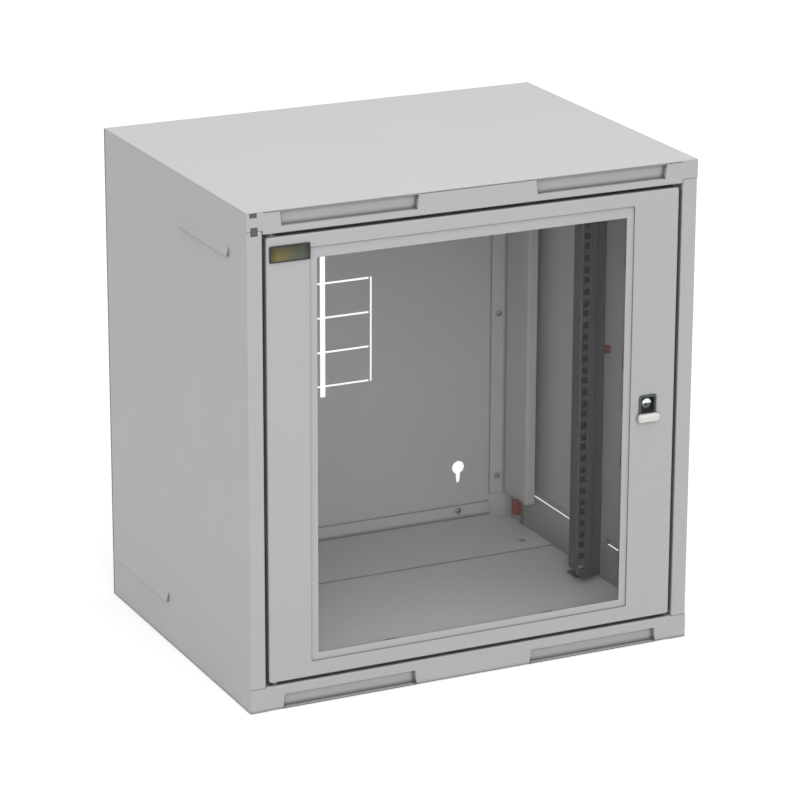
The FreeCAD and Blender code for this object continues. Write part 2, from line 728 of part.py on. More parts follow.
def door_skin():
    """Door pressed from one sheet: rounded tray, window with a sunk band round it, holes for lock and hinge."""
    outer = rounded_plate(-DOOR_X, DOOR_LOW, DOOR_X, DOOR_HIGH, FRONT, DOOR_DEPTH, DOOR_CORNER)
    rim = [edge for edge in outer.Edges if abs(edge.CenterOfMass.y - FRONT) < 0.01]
    outer = outer.makeFillet(BEND, rim)
    inner = rounded_plate(
        -DOOR_X + SHEET,
        DOOR_LOW + SHEET,
        DOOR_X - SHEET,
        DOOR_HIGH - SHEET,
        DOOR_INNER,
        DOOR_DEPTH,
        DOOR_CORNER - SHEET,
    )
    rim = [edge for edge in inner.Edges if abs(edge.CenterOfMass.y - DOOR_INNER) < 0.01]
    inner = inner.makeFillet(BEND - SHEET, rim)
    skin = outer.cut(inner)
    low_x, low_z, high_x, high_z = WINDOW
    band = (low_x - REBATE, low_z - REBATE, high_x + REBATE, high_z + REBATE_TOP)
    sunk = rounded_plate(*band, FRONT, REBATE_DEPTH, 2.0)
    backing = (band[0] - SHEET, band[1] - SHEET, band[2] + SHEET, band[3] + SHEET)
    ridge = rounded_plate(*backing, DOOR_INNER - SHEET / 2, SHEET / 2 + REBATE_DEPTH, 3.0)
    skin = skin.fuse(ridge).cut(sunk)
    skin = skin.cut(rounded_plate(*WINDOW, FRONT - 1, 2 * SHEET + 3, WINDOW_CORNER))
    skin = skin.cut(lock_cutout())
    for z in (DOOR_LOW, DOOR_HIGH - SHEET):
        skin = skin.cut(rod((HINGE_X, HINGE_Y, z), Z_AXIS, BUSH_R + 0.05, SHEET))
    return skin.removeSplitter()


def glass_outline():
    """Edges of the pane: low X, low Z, high X, high Z."""
    low_x, low_z, high_x, high_z = WINDOW
    return low_x - GLASS_LAP, low_z - GLASS_LAP, high_x + GLASS_LAP, high_z + GLASS_LAP


def door_glass():
    """Toughened pane with a small chamfer all round both faces."""
    pane = rounded_plate(*glass_outline(), GLASS_FRONT, GLASS, 3.0)
    rims = [edge for edge in pane.Edges if abs(edge.tangentAt(edge.FirstParameter).y) < 0.5]
    return pane.makeChamfer(0.5, rims)


def glass_seal():
    """Flat foam frame between the pane and the door."""
    low_x, low_z, high_x, high_z = glass_outline()
    edge = 1.0
    outer = rounded_plate(low_x + edge, low_z + edge, high_x - edge, high_z - edge, GLASS_FRONT - SEAL, SEAL, 2.5)
    edge += SEAL_WIDTH
    inner = rounded_plate(low_x + edge, low_z + edge, high_x - edge, high_z - edge, GLASS_FRONT - SEAL, SEAL, 1.0)
    return outer.cut(inner)


def clip_places():
    """Glass edge points and outward directions of the clips round the pane."""
    low_x, low_z, high_x, high_z = glass_outline()
    places = []
    for step in range(CLIPS_PER_SIDE):
        z = low_z + (high_z - low_z) * (step + 0.5) / CLIPS_PER_SIDE
        places += [(low_x, z, -1, 0), (high_x, z, 1, 0)]
    for step in range(CLIPS_PER_END):
        x = low_x + (high_x - low_x) * (step + 0.5) / CLIPS_PER_END
        places += [(x, low_z, 0, -1), (x, high_z, 0, 1)]
    return places


def placed_clip_piece(shape, place):
    """A clip drawn at the origin, pointing to +X, moved to its edge point and turned outwards."""
    x, z, out_x, out_z = place
    turned = shape.copy()
    turned.rotate(V(0, 0, 0), Y_AXIS, -math.degrees(math.atan2(out_z, out_x)))
    turned.translate(V(x, 0, z))
    return turned


def clip_stud_reach():
    """Distance from the edge of the pane to the clip's stud."""
    ridge = REBATE_TOP - GLASS_LAP + SHEET
    return ridge + TOUCH + 2 * CLIP_SHEET + CLIP_FOOT / 2


def glass_clips():
    """Z shaped spring clips that hold the pane against its seal."""
    foot_end = clip_stud_reach() + CLIP_FOOT / 2
    half = CLIP_WIDTH / 2
    path = [
        (foot_end, DOOR_INNER + CLIP_SHEET, -half),
        (clip_stud_reach() - CLIP_FOOT / 2, DOOR_INNER + CLIP_SHEET, -half),
        (clip_stud_reach() - CLIP_FOOT / 2 - 1.0, GLASS_BACK + CLIP_SHEET, -half),
        (-CLIP_TONGUE, GLASS_BACK + CLIP_SHEET, -half),
    ]
    clip = folded_sheet(path, -CLIP_SHEET, V(0, 0, CLIP_WIDTH), bend=CLIP_BEND)
    hole = rod((clip_stud_reach(), DOOR_INNER - 1, 0), Y_AXIS, STUD_R + SCREW_FIT, 3 * CLIP_SHEET)
    clip = clip.cut(hole)
    return [placed_clip_piece(clip, place) for place in clip_places()]


def clip_studs():
    """Studs welded to the inside of the door for the glass clips."""
    stud = rod((clip_stud_reach(), DOOR_INNER, 0), Y_AXIS, STUD_R, CLIP_SHEET + M4_NUT_HEIGHT + 2.0)
    return [placed_clip_piece(stud, place) for place in clip_places()]


def clip_nuts():
    """Nuts on the clip studs."""
    seat = (clip_stud_reach(), DOOR_INNER + CLIP_SHEET, 0)
    nut = hexagon(seat, Y_AXIS, M4_NUT_SIZE, M4_NUT_HEIGHT, STUD_R + 0.02)
    return [placed_clip_piece(nut, place) for place in clip_places()]


def stop_places():
    """Centres of the lower buffer and of the upper one before it is mirrored to the ceiling."""
    x = LOCK_X - STOP_WIDTH
    return (x, DOOR_LOW + SHEET), (x, CORE - DOOR_HIGH + SHEET)


def door_stop(x, z):
    """Small angle on the floor, with a hole for the buffer's stem."""
    face = DOOR_BACK + TOUCH + BUFFER_LENGTH
    path = [
        (x - STOP_WIDTH / 2, face + STOP_FOOT, FLOOR),
        (x - STOP_WIDTH / 2, face, FLOOR),
        (x - STOP_WIDTH / 2, face, z + BUFFER_R + 2.0),
    ]
    stop = folded_sheet(path, SHEET, V(STOP_WIDTH, 0, 0))
    return stop.cut(rod((x, face - 1, z), Y_AXIS, BUFFER_STEM_R + BUFFER_FIT, SHEET + 2))


def door_buffer(x, z):
    """Rubber buffer with a barbed stem through its stop."""
    face = DOOR_BACK + TOUCH
    pad = rod((x, face, z), Y_AXIS, BUFFER_R, BUFFER_LENGTH)
    stem = rod((x, face, z), Y_AXIS, BUFFER_STEM_R, BUFFER_LENGTH + SHEET)
    barb = rod((x, face + BUFFER_LENGTH + SHEET, z), Y_AXIS, BUFFER_STEM_R + BUFFER_BARB, 1.5)
    return fused([pad, stem, barb])


def door_stops():
    """Stops on the floor and under the ceiling that carry the buffers."""
    low, high = stop_places()
    return [door_stop(*low), mirrored_z(door_stop(*high))]


def door_buffers():
    """Buffers that the closing door comes to rest on."""
    low, high = stop_places()
    return [door_buffer(*low), mirrored_z(door_buffer(*high))]


# Hinge

def hinge_bush(flip):
    """Flanged plastic bush in the door's lower or upper fold."""
    flange = rod((HINGE_X, HINGE_Y, DOOR_LOW - BUSH_FLANGE), Z_AXIS, BUSH_FLANGE_R, BUSH_FLANGE)
    sleeve = rod((HINGE_X, HINGE_Y, DOOR_LOW), Z_AXIS, BUSH_R, BUSH_LENGTH)
    bore = rod((HINGE_X, HINGE_Y, DOOR_LOW - BUSH_FLANGE), Z_AXIS, PIN_R + PIN_FIT, BUSH_LENGTH + BUSH_FLANGE)
    bush = flange.fuse(sleeve).cut(bore)
    if flip:
        bush = bush.mirror(V(0, 0, (DOOR_LOW + DOOR_HIGH) / 2), Z_AXIS)
    return bush


def hinge_pin_bottom():
    """Fixed lower pin: riveted under the sill, with a collar that carries the door's bush."""
    collar_height = DOOR_GAP_BOTTOM - BUSH_FLANGE - TOUCH
    collar = rod((HINGE_X, HINGE_Y, SILL), Z_AXIS, COLLAR_R, collar_height)
    shank = rod((HINGE_X, HINGE_Y, SILL - SHEET), Z_AXIS, PIN_R, SHEET + collar_height + PIN_RISE)
    tip = [edge for edge in shank.Edges if abs(edge.CenterOfMass.z - SILL - collar_height - PIN_RISE) < 0.01]
    shank = shank.makeChamfer(0.8, tip)
    head = rod((HINGE_X, HINGE_Y, SILL - SHEET - PIN_HEAD), Z_AXIS, PIN_HEAD_R, PIN_HEAD)
    return fused([collar, shank, head])


def guide_level():
    """Height of the face that the spring stands on."""
    return DOOR_HIGH - SHEET - BUSH_LENGTH - GUIDE_DROP


def collar_level():
    """Height of the lower face of the spring pin's collar."""
    return DOOR_HIGH - SHEET - BUSH_LENGTH - 3.0


def pin_guide():
    """Bracket welded to the door that guides the foot of the spring pin."""
    low = guide_level()
    half = GUIDE_WIDTH / 2
    path = [
        (HINGE_X - half, HINGE_Y + PIN_R + 4.0, low),
        (HINGE_X - half, DOOR_INNER, low),
        (HINGE_X - half, DOOR_INNER, low - 14.0),
    ]
    bracket = folded_sheet(path, -SHEET, V(GUIDE_WIDTH, 0, 0))
    return bracket.cut(rod((HINGE_X, HINGE_Y, low - 3), Z_AXIS, PIN_R + PIN_FIT, 6))


def hinge_pin_top():
    """Sprung upper pin with a bent pull: drawn down, it frees the door."""
    top = LINTEL_Z + PIN_ENTRY
    bend_level = guide_level() - SHEET - PIN_TRAVEL - 1.0
    shank = rod((HINGE_X, HINGE_Y, bend_level), Z_AXIS, PIN_R, top - bend_level)
    tip = [edge for edge in shank.Edges if abs(edge.CenterOfMass.z - top) < 0.01]
    shank = shank.makeChamfer(0.8, tip)
    section = Part.Face(Part.Wire(Part.makeCircle(PIN_R, V(HINGE_X, HINGE_Y, bend_level), Z_AXIS)))
    elbow = section.revolve(V(HINGE_X + PULL_BEND, HINGE_Y, bend_level), Y_AXIS, -90)
    pull_start = V(HINGE_X + PULL_BEND, HINGE_Y, bend_level - PULL_BEND)
    pull = rod(pull_start, X_AXIS, PIN_R, PULL_LENGTH - PULL_BEND)
    end = [edge for edge in pull.Edges if abs(edge.CenterOfMass.x - HINGE_X - PULL_LENGTH) < 0.01]
    pull = pull.makeChamfer(0.8, end)
    collar = rod((HINGE_X, HINGE_Y, collar_level()), Z_AXIS, COLLAR_R, 2.0)
    return fused([shank, collar, elbow, pull])


def pin_spring():
    """Compression spring between the guide and the pin's collar, its wire faceted to eight sides."""
    low = guide_level() + SPRING_WIRE_R + 0.02
    rise = collar_level() - TOUCH - SPRING_WIRE_R - low
    path = Part.makeHelix(rise / SPRING_TURNS, rise, SPRING_R)
    angles = [math.radians(45 * step) for step in range(9)]
    corners = [V(SPRING_R + SPRING_WIRE_R * math.cos(a), 0, SPRING_WIRE_R * math.sin(a)) for a in angles]
    spring = Part.Wire(path).makePipeShell([Part.makePolygon(corners)], True, True)
    spring.translate(V(HINGE_X, HINGE_Y, low))
    return spring


# Lock

def lock_cutout():
    """Opening in the door for the lock's cup."""
    half = LOCK_WIDTH / 2 - LOCK_RIM
    reach = LOCK_HEIGHT / 2 - LOCK_RIM
    return rounded_plate(LOCK_X - half, LOCK_Z - reach, LOCK_X + half, LOCK_Z + reach, FRONT - 1, SHEET + 2, 3.0)


def lock_barrel_z():
    """Height of the lock's barrel, above the pull lip."""
    return LOCK_Z + LOCK_LIP_HEIGHT / 2


def lip_pegs(radius):
    """Pegs that hold the pull lip in the housing, or with a larger radius their holes."""
    z = LOCK_Z - LOCK_HEIGHT / 2 + LOCK_LIP_HEIGHT / 2
    start = FRONT - LOCK_PROUD - 0.5
    return [rod((LOCK_X + x, start, z), Y_AXIS, radius, LIP_PEG_LENGTH) for x in (-LIP_PEG_SPREAD, LIP_PEG_SPREAD)]


def lock_housing():
    """Moulded cup with a bezel and a threaded barrel behind it."""
    half = LOCK_WIDTH / 2
    reach = LOCK_HEIGHT / 2
    bezel = rounded_plate(
        LOCK_X - half, LOCK_Z - reach, LOCK_X + half, LOCK_Z + reach, FRONT - LOCK_PROUD, LOCK_PROUD, LOCK_CORNER
    )
    front_edges = [edge for edge in bezel.Edges if abs(edge.CenterOfMass.y - FRONT + LOCK_PROUD) < 0.01]
    bezel = bezel.makeFillet(0.7, front_edges)
    fit = LOCK_RIM + TOUCH
    cup = rounded_plate(
        LOCK_X - half + fit, LOCK_Z - reach + fit, LOCK_X + half - fit, LOCK_Z + reach - fit,
        FRONT - 0.5, LOCK_CUP_DEPTH + 0.5, 3.0
    )
    wall = fit + LOCK_CUP_WALL
    hollow = rounded_plate(
        LOCK_X - half + wall, LOCK_Z - reach + LOCK_LIP_HEIGHT + 0.3, LOCK_X + half - wall, LOCK_Z + reach - wall,
        FRONT - LOCK_PROUD - 1, LOCK_PROUD + 1 + LOCK_CUP_DEPTH - LOCK_CUP_WALL, 3.0
    )
    barrel_z = lock_barrel_z()
    start = FRONT + LOCK_CUP_DEPTH - LOCK_CUP_WALL
    barrel = rod((LOCK_X, start, barrel_z), Y_AXIS, BARREL_R, BARREL_LENGTH - LOCK_CUP_DEPTH + 4)
    body = bezel.fuse(cup).cut(hollow).fuse(barrel)
    for hole in lip_pegs(LIP_PEG_R + 0.05):
        body = body.cut(hole)
    return body.cut(rod((LOCK_X, FRONT - 2, barrel_z), Y_AXIS, PLUG_R + PLUG_FIT, 40)).removeSplitter()


def lock_lip():
    """Pull lip at the foot of the lock, with two pegs in the housing."""
    low = LOCK_Z - LOCK_HEIGHT / 2
    high = low + LOCK_LIP_HEIGHT
    back = FRONT - LOCK_PROUD - TOUCH
    front = back - LOCK_LIP_REACH
    outline = [
        V(0, back, low),
        V(0, back - LOCK_LIP_REACH * 0.6, low + 1.0),
        V(0, front, high - 3.5),
        V(0, front, high - 1.2),
        V(0, front + 1.2, high),
        V(0, back, high),
    ]
    half = LOCK_LIP_WIDTH / 2
    bar = Part.Face(Part.makePolygon(outline + outline[:1])).extrude(V(LOCK_LIP_WIDTH, 0, 0))
    bar.translate(V(LOCK_X - half, 0, 0))
    ends = rounded_plate(
        LOCK_X - half, low, LOCK_X + half, high, front - 1, LOCK_LIP_REACH + 1, LOCK_LIP_CORNER
    )
    return fused([bar.common(ends)] + lip_pegs(LIP_PEG_R))


def barrel_end():
    """Y of the barrel's rear end."""
    return FRONT + LOCK_CUP_DEPTH - LOCK_CUP_WALL + BARREL_LENGTH - LOCK_CUP_DEPTH + 4


def lock_nut():
    """Hexagon nut that clamps the lock from behind."""
    start = (LOCK_X, FRONT + LOCK_CUP_DEPTH, lock_barrel_z())
    return hexagon(start, Y_AXIS, LOCK_NUT_SIZE, LOCK_NUT_HEIGHT, BARREL_R + 0.02)


def lock_cylinder():
    """Turning plug with a raised head, a key slot and a square for the cam."""
    z = lock_barrel_z()
    cup_floor = FRONT + LOCK_CUP_DEPTH - LOCK_CUP_WALL
    head = rod((LOCK_X, cup_floor - 5.0, z), Y_AXIS, PLUG_R + 1.6, 5.0 - TOUCH)
    rim = [edge for edge in head.Edges if abs(edge.CenterOfMass.y - cup_floor + 5.0) < 0.01]
    head = head.makeFillet(0.8, rim)
    stem = rod((LOCK_X, cup_floor - 1.0, z), Y_AXIS, PLUG_R, barrel_end() - cup_floor + 1.0)
    half = KEY_SQUARE / 2
    square = block((LOCK_X - half, barrel_end() - 1, z - half), (LOCK_X + half, cam_front() + CAM_SHEET, z + half))
    slot = block((LOCK_X - 0.8, cup_floor - 6.0, z - 4.2), (LOCK_X + 0.8, cup_floor - 3.0, z + 4.2))
    thread = rod((LOCK_X, cam_front() + CAM_SHEET, z), Y_AXIS * -1, CAM_SCREW_R + 0.02, CAM_SCREW_LENGTH + 1)
    return fused([head, stem, square]).cut(slot).cut(thread)


def key_cap():
    """Half-round cap on the upper half of the plug's head."""
    z = lock_barrel_z()
    back = FRONT + LOCK_CUP_DEPTH - LOCK_CUP_WALL - 5.0
    disc = rod((LOCK_X, back - KEY_CAP_SHEET, z), Y_AXIS, PLUG_R + 1.2, KEY_CAP_SHEET)
    lower = block((LOCK_X - 10, back - 3, z - 10), (LOCK_X + 10, back + 3, z + 0.5))
    return disc.cut(lower)


def cam_front():
    """Y of the cam's front face, clear behind the end of the jamb."""
    return JAMB_END + CAM_CLEAR


def lock_cam():
    """Flat cam, hanging down when the lock is open."""
    z = lock_barrel_z()
    half = CAM_WIDTH / 2
    boss = rod((LOCK_X, cam_front(), z), Y_AXIS, half, CAM_SHEET)
    arm = block((LOCK_X - half, cam_front(), z - CAM_REACH + half), (LOCK_X + half, cam_front() + CAM_SHEET, z))
    tip = rod((LOCK_X, cam_front(), z - CAM_REACH + half), Y_AXIS, half, CAM_SHEET)
    square = KEY_SQUARE / 2 + 0.02
    hole = block(
        (LOCK_X - square, cam_front() - 1, z - square), (LOCK_X + square, cam_front() + CAM_SHEET + 1, z + square)
    )
    return fused([boss, arm, tip]).cut(hole)


def cam_screw():
    """Screw with a wide head that holds the cam on its square."""
    seat = (LOCK_X, cam_front() + CAM_SHEET, lock_barrel_z())
    return screw(seat, Y_AXIS * -1, CAM_SCREW_R, M4_HEAD_R, M4_HEAD, CAM_SCREW_LENGTH)


LEFT_LOUVRES = [(LOUVRE_REAR, LOUVRE_LOW), (LOUVRE_FRONT, CORE - LOUVRE_HIGH)]
RIGHT_LOUVRES = LEFT_LOUVRES + [(LOUVRE_FRONT, LOUVRE_LOW)]


def cabinet():
    """Every node of the cabinet: its name and its solids."""
    top_rail = front_rail(CORE, LINTEL_Z, SEAM_HIGH, CORE - SHEET)
    for window in tab_windows():
        top_rail = top_rail.cut(window)
    floor = floor_panel()
    return {
        "top_cover": [top_cover()],
        "ceiling_panel": [mirrored_z(floor)],
        "floor_panel": [floor],
        "side_panel_left": [side_panel(LEFT, LEFT_LOUVRES)],
        "side_panel_right": [side_panel(RIGHT, RIGHT_LOUVRES)],
        "back_panel": [back_panel()],
        "front_rail_top": [top_rail],
        "front_rail_bottom": [front_rail(0.0, SILL, SEAM_LOW, SHEET)],
        "rear_post_left": [rear_post(LEFT)],
        "rear_post_right": [rear_post(RIGHT)],
        "rack_rail_left": [rack_rail(LEFT)],
        "rack_rail_right": [rack_rail(RIGHT)],
        "cable_cover_bottom": [entry_cover()],
        "cable_cover_top": [mirrored_z(entry_cover())],
        "wall_screws": wall_screws(),
        "cover_screws": cover_screws(),
        "rail_screws": rail_screws(),
        "rail_nuts": rail_nuts(),
        "post_clips": post_clips(),
        "rail_clips": rail_clips(),
        "door_stops": door_stops(),
        "door_buffers": door_buffers(),
        "hinge_pin_bottom": [hinge_pin_bottom()],
        "door_skin": [door_skin()],
        "door_glass": [door_glass()],
        "glass_seal": [glass_seal()],
        "glass_clips": glass_clips(),
        "clip_studs": clip_studs(),
        "clip_nuts": clip_nuts(),
        "hinge_bush_bottom": [hinge_bush(False)],
        "hinge_bush_top": [hinge_bush(True)],
        "pin_guide": [pin_guide()],
        "hinge_pin_top": [hinge_pin_top()],
        "pin_spring": [pin_spring()],
        "lock_housing": [lock_housing()],
        "lock_lip": [lock_lip()],
        "lock_nut": [lock_nut()],
        "lock_cylinder": [lock_cylinder()],
        "key_cap": [key_cap()],
        "lock_cam": [lock_cam()],
        "cam_screw": [cam_screw()],
    }


def main():
    os.makedirs("parts", exist_ok=True)
    for name, solids in cabinet().items():
        shape = solids[0] if len(solids) == 1 else Part.makeCompound(solids)
        shape.exportStep(os.path.join("parts", name + ".step"))
        print(f"{name}: {len(shape.Solids)} solid(s), {shape.Volume / 1000:.1f} cm3, valid {shape.isValid()}")


main()
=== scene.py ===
"""Wall mount network cabinet: finishes, small fasteners, badge plate and studio."""

import bpy
import numpy as np
from mathutils import Matrix, Vector


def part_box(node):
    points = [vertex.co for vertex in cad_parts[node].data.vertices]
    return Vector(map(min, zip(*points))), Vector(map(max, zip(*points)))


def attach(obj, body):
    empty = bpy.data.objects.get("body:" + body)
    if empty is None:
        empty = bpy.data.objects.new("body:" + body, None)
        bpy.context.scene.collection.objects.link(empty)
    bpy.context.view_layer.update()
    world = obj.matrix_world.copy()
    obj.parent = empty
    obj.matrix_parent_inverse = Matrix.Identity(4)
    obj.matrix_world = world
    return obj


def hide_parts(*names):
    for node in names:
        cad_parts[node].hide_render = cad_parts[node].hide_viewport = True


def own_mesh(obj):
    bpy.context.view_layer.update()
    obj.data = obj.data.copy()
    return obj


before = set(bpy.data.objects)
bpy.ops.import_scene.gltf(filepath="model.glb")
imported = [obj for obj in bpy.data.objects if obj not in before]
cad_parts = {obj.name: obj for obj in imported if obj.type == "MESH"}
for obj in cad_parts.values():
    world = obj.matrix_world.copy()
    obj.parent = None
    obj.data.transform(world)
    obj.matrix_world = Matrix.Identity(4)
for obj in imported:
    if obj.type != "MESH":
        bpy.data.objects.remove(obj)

bl_info = {
    "name": "Wall mount network cabinet",
    "version": (1, 0, 0),
    "blender": (4, 5, 0),
    "location": "View3D > Sidebar > Cabinet",
    "description": "Finishes and small parts of a folded steel wall cabinet, with its studio",
    "category": "Object",
}

MM = 0.001
BOTH_SIDES = (-1, 1)

# Places of the small pieces, in mm: x to the right, y to the wall, z up.
WALL_SCREW_PLACES = ((200.5, 38.8), (200.5, 584.7), (259.0, 81.0), (259.0, 311.75), (259.0, 542.5))
WALL_SCREW_SEAT_Y = -3.0
COVER_SCREW_X, COVER_SCREW_Y = 237.5, -120.0
COVER_SCREW_SEATS = ((29.2, 1), (594.3, -1))        # height of the seat, way its head points
RAIL_SCREW_X, RAIL_SCREW_Y = 249.0, -262.0
RAIL_SCREW_SEATS = ((30.0, 1), (593.5, -1))
RAIL_NUT_FEET = (21.5, 597.0)
LOCK_X, LOCK_Z = 237.5, 319.25
CAM_SCREW_SEAT_Y = -426.5
LOCK_NUT_FOOT_Y = -440.0
CLIP_STUD_FOOT_Y = -448.5
CLIP_NUT_FOOT_Y = -447.5
CLIP_STUD_R = 2.0
CLIP_SIDE_START, CLIP_SIDE_PITCH = 77.8, 128.5      # studs up the sides of the pane
CLIP_END_X = (-110.75, 104.75)                      # studs over and under the pane
SPRING_R, SPRING_WIRE_R = 3.8, 0.4


# ---------------------------------------------------------------- colour and node helpers

def linear(code, alpha=1.0):
    """Linear RGBA of an sRGB hex code."""
    values = np.array([int(code[i:i + 2], 16) for i in (1, 3, 5)]) / 255.0
    low = values / 12.92
    high = ((values + 0.055) / 1.055) ** 2.4
    return (*np.where(values <= 0.04045, low, high).tolist(), alpha)


def add_node(tree, kind, inputs=None, **attributes):
    """Adds a node, sets its attributes, and gives each named input a value or a link."""
    node = tree.nodes.new(kind)
    for name, value in attributes.items():
        setattr(node, name, value)
    for name, value in (inputs or {}).items():
        if isinstance(value, bpy.types.NodeSocket):
            tree.links.new(value, node.inputs[name])
        else:
            node.inputs[name].default_value = value
    return node


def new_material(name):
    """An empty node material and its tree, with its output node."""
    material = bpy.data.materials.new(name)
    material.use_nodes = True
    material.node_tree.nodes.clear()
    return material, material.node_tree, add_node(material.node_tree, "ShaderNodeOutputMaterial")


def ramp_between(tree, factor, start, end):
    """Linear remap of a 0 to 1 factor to the range start to end."""
    return add_node(tree, "ShaderNodeMapRange", {"Value": factor, "To Min": start, "To Max": end}).outputs["Result"]


def noise(tree, place, size_mm, detail, **inputs):
    """Noise texture whose features are about size_mm across."""
    given = {"Vector": place, "Scale": 1 / (size_mm * MM), "Detail": detail, **inputs}
    return add_node(tree, "ShaderNodeTexNoise", given).outputs["Fac"]


def product(tree, first, second):
    """First times second."""
    return add_node(tree, "ShaderNodeMath", {0: first, 1: second}, operation="MULTIPLY").outputs["Value"]


def seen_directly(tree):
    """1 on rays of the camera, of mirrors and of glass, and 0 on the rays that light other things."""
    ray = add_node(tree, "ShaderNodeLightPath").outputs
    seen = ray["Is Camera Ray"]
    for kind in ("Is Glossy Ray", "Is Transmission Ray"):
        seen = add_node(tree, "ShaderNodeMath", {0: seen, 1: ray[kind]}, operation="MAXIMUM").outputs["Value"]
    return seen


def principled(tree, output, **inputs):
    """Principled shader, wired to the output. Underscores in the names of its inputs stand for spaces."""
    given = {name.replace("_", " "): value for name, value in inputs.items()}
    shader = add_node(tree, "ShaderNodeBsdfPrincipled", given)
    tree.links.new(shader.outputs["BSDF"], output.inputs["Surface"])


# ---------------------------------------------------------------- materials

def powder_coat(name, code, grain_mm, gloss_roughness, depth_mm, shade_reach_mm=6.0, darkest_painted_shade=0.35, edge_highlight_gain=1.0):
    """Polyester powder coat, sprayed and baked on folded steel sheet: a fine even orange peel,
    a satin gloss, a faint cloudiness of the coat, slightly softened folds and painted shade in the seams.
    The reach and the least factor of that painted shade say how far from a neighbouring face it reaches in a seam
    or recess and how dark it gets. The edge gain is how much a painted highlight lightens a cut edge."""
    material, tree, output = new_material(name)
    place = add_node(tree, "ShaderNodeTexCoord").outputs["Object"]
    peel = noise(tree, place, grain_mm, 2.0, Roughness=0.45)
    cloud = noise(tree, place, 90, 3.0, Roughness=0.5)
    speck = noise(tree, place, 0.7, 1.0)
    value = product(tree, ramp_between(tree, cloud, 0.975, 1.025), ramp_between(tree, speck, 0.985, 1.015))
    # Painted shade: ambient occlusion darkens the colour in seams, in recesses and under the louvre hoods.
    seam = add_node(tree, "ShaderNodeAmbientOcclusion", {"Distance": shade_reach_mm * MM}, samples=8)
    painted_crease_shade = add_node(tree, "ShaderNodeMapRange", {
        "Value": seam.outputs["AO"], "From Min": 0.5, "From Max": 0.95, "To Min": darkest_painted_shade, "To Max": 1.0})
    tone_and_painted_light = product(tree, value, painted_crease_shade.outputs["Result"])
    # Painted highlight: inside ambient occlusion finds cut edges and lightens their colour.
    if edge_highlight_gain > 1.0:
        edge = add_node(tree, "ShaderNodeAmbientOcclusion", {"Distance": 1.1 * MM}, samples=8, inside=True)
        painted_edge_highlight = add_node(tree, "ShaderNodeMapRange", {
            "Value": edge.outputs["AO"], "From Min": 0.5, "From Max": 0.92, "To Min": edge_highlight_gain, "To Max": 1.0})
        tone_and_painted_light = product(tree, tone_and_painted_light, painted_edge_highlight.outputs["Result"])
    colour = add_node(tree, "ShaderNodeHueSaturation", {"Color": linear(code), "Value": tone_and_painted_light})
    gloss = ramp_between(tree, peel, gloss_roughness - 0.05, gloss_roughness + 0.05)
    fold = add_node(tree, "ShaderNodeBevel", {"Radius": 0.7 * MM}, samples=4)
    bump = add_node(tree, "ShaderNodeBump", {
        "Height": peel, "Distance": depth_mm * MM, "Strength": 1.0, "Normal": fold.outputs["Normal"]})
    principled(tree, output, Base_Color=colour.outputs["Color"], Roughness=gloss, IOR=1.5,
               Normal=bump.outputs["Normal"])
    return material


def zinc_plate(name, code):
    """Zinc plated steel, barrel plated and passivated: cool grey metal with a soft uneven sheen."""
    material, tree, output = new_material(name)
    place = add_node(tree, "ShaderNodeTexCoord").outputs["Object"]
    cloud = noise(tree, place, 6, 4.0)
    scratch = noise(tree, place, 0.6, 2.0)
    shade = ramp_between(tree, cloud, 0.9, 1.1)
    colour = add_node(tree, "ShaderNodeHueSaturation", {"Color": linear(code), "Value": shade})
    gloss = ramp_between(tree, cloud, 0.24, 0.42)
    bump = add_node(tree, "ShaderNodeBump", {"Height": scratch, "Distance": 0.01 * MM})
    principled(tree, output, Base_Color=colour.outputs["Color"], Metallic=1.0, Roughness=gloss,
               Normal=bump.outputs["Normal"])
    return material


def bright_chrome(name, code):
    """Chromium plate on a zinc die casting: near mirror, with the faint waviness of the casting."""
    material, tree, output = new_material(name)
    place = add_node(tree, "ShaderNodeTexCoord").outputs["Object"]
    wave = noise(tree, place, 5, 2.0)
    gloss = ramp_between(tree, wave, 0.1, 0.2)
    fold = add_node(tree, "ShaderNodeBevel", {"Radius": 0.5 * MM}, samples=4)
    bump = add_node(tree, "ShaderNodeBump", {
        "Height": wave, "Distance": 0.02 * MM, "Normal": fold.outputs["Normal"]})
    principled(tree, output, Base_Color=linear(code), Metallic=1.0, Roughness=gloss, Normal=bump.outputs["Normal"])
    return material


def moulded_plastic(name, code, roughness, grain_mm):
    """Injection moulded plastic with a spark eroded grain: even colour and a soft highlight."""
    material, tree, output = new_material(name)
    place = add_node(tree, "ShaderNodeTexCoord").outputs["Object"]
    grain = noise(tree, place, grain_mm, 3.0)
    shade = ramp_between(tree, grain, 0.92, 1.08)
    colour = add_node(tree, "ShaderNodeHueSaturation", {"Color": linear(code), "Value": shade})
    gloss = ramp_between(tree, grain, roughness - 0.06, roughness + 0.06)
    bump = add_node(tree, "ShaderNodeBump", {"Height": grain, "Distance": 0.02 * MM})
    principled(tree, output, Base_Color=colour.outputs["Color"], Roughness=gloss, IOR=1.53,
               Normal=bump.outputs["Normal"])
    return material


def closed_foam(name, code):
    """Closed cell rubber foam, skived: dull black with fine open pores on its cut face."""
    material, tree, output = new_material(name)
    place = add_node(tree, "ShaderNodeTexCoord").outputs["Object"]
    pores = add_node(tree, "ShaderNodeTexVoronoi", {"Vector": place, "Scale": 1 / (0.8 * MM)})
    shade = ramp_between(tree, pores.outputs["Distance"], 0.7, 1.2)
    colour = add_node(tree, "ShaderNodeHueSaturation", {"Color": linear(code), "Value": shade})
    bump = add_node(tree, "ShaderNodeBump", {"Height": pores.outputs["Distance"], "Distance": 0.15 * MM})
    principled(tree, output, Base_Color=colour.outputs["Color"], Roughness=0.85, IOR=1.5,
               Normal=bump.outputs["Normal"])
    return material


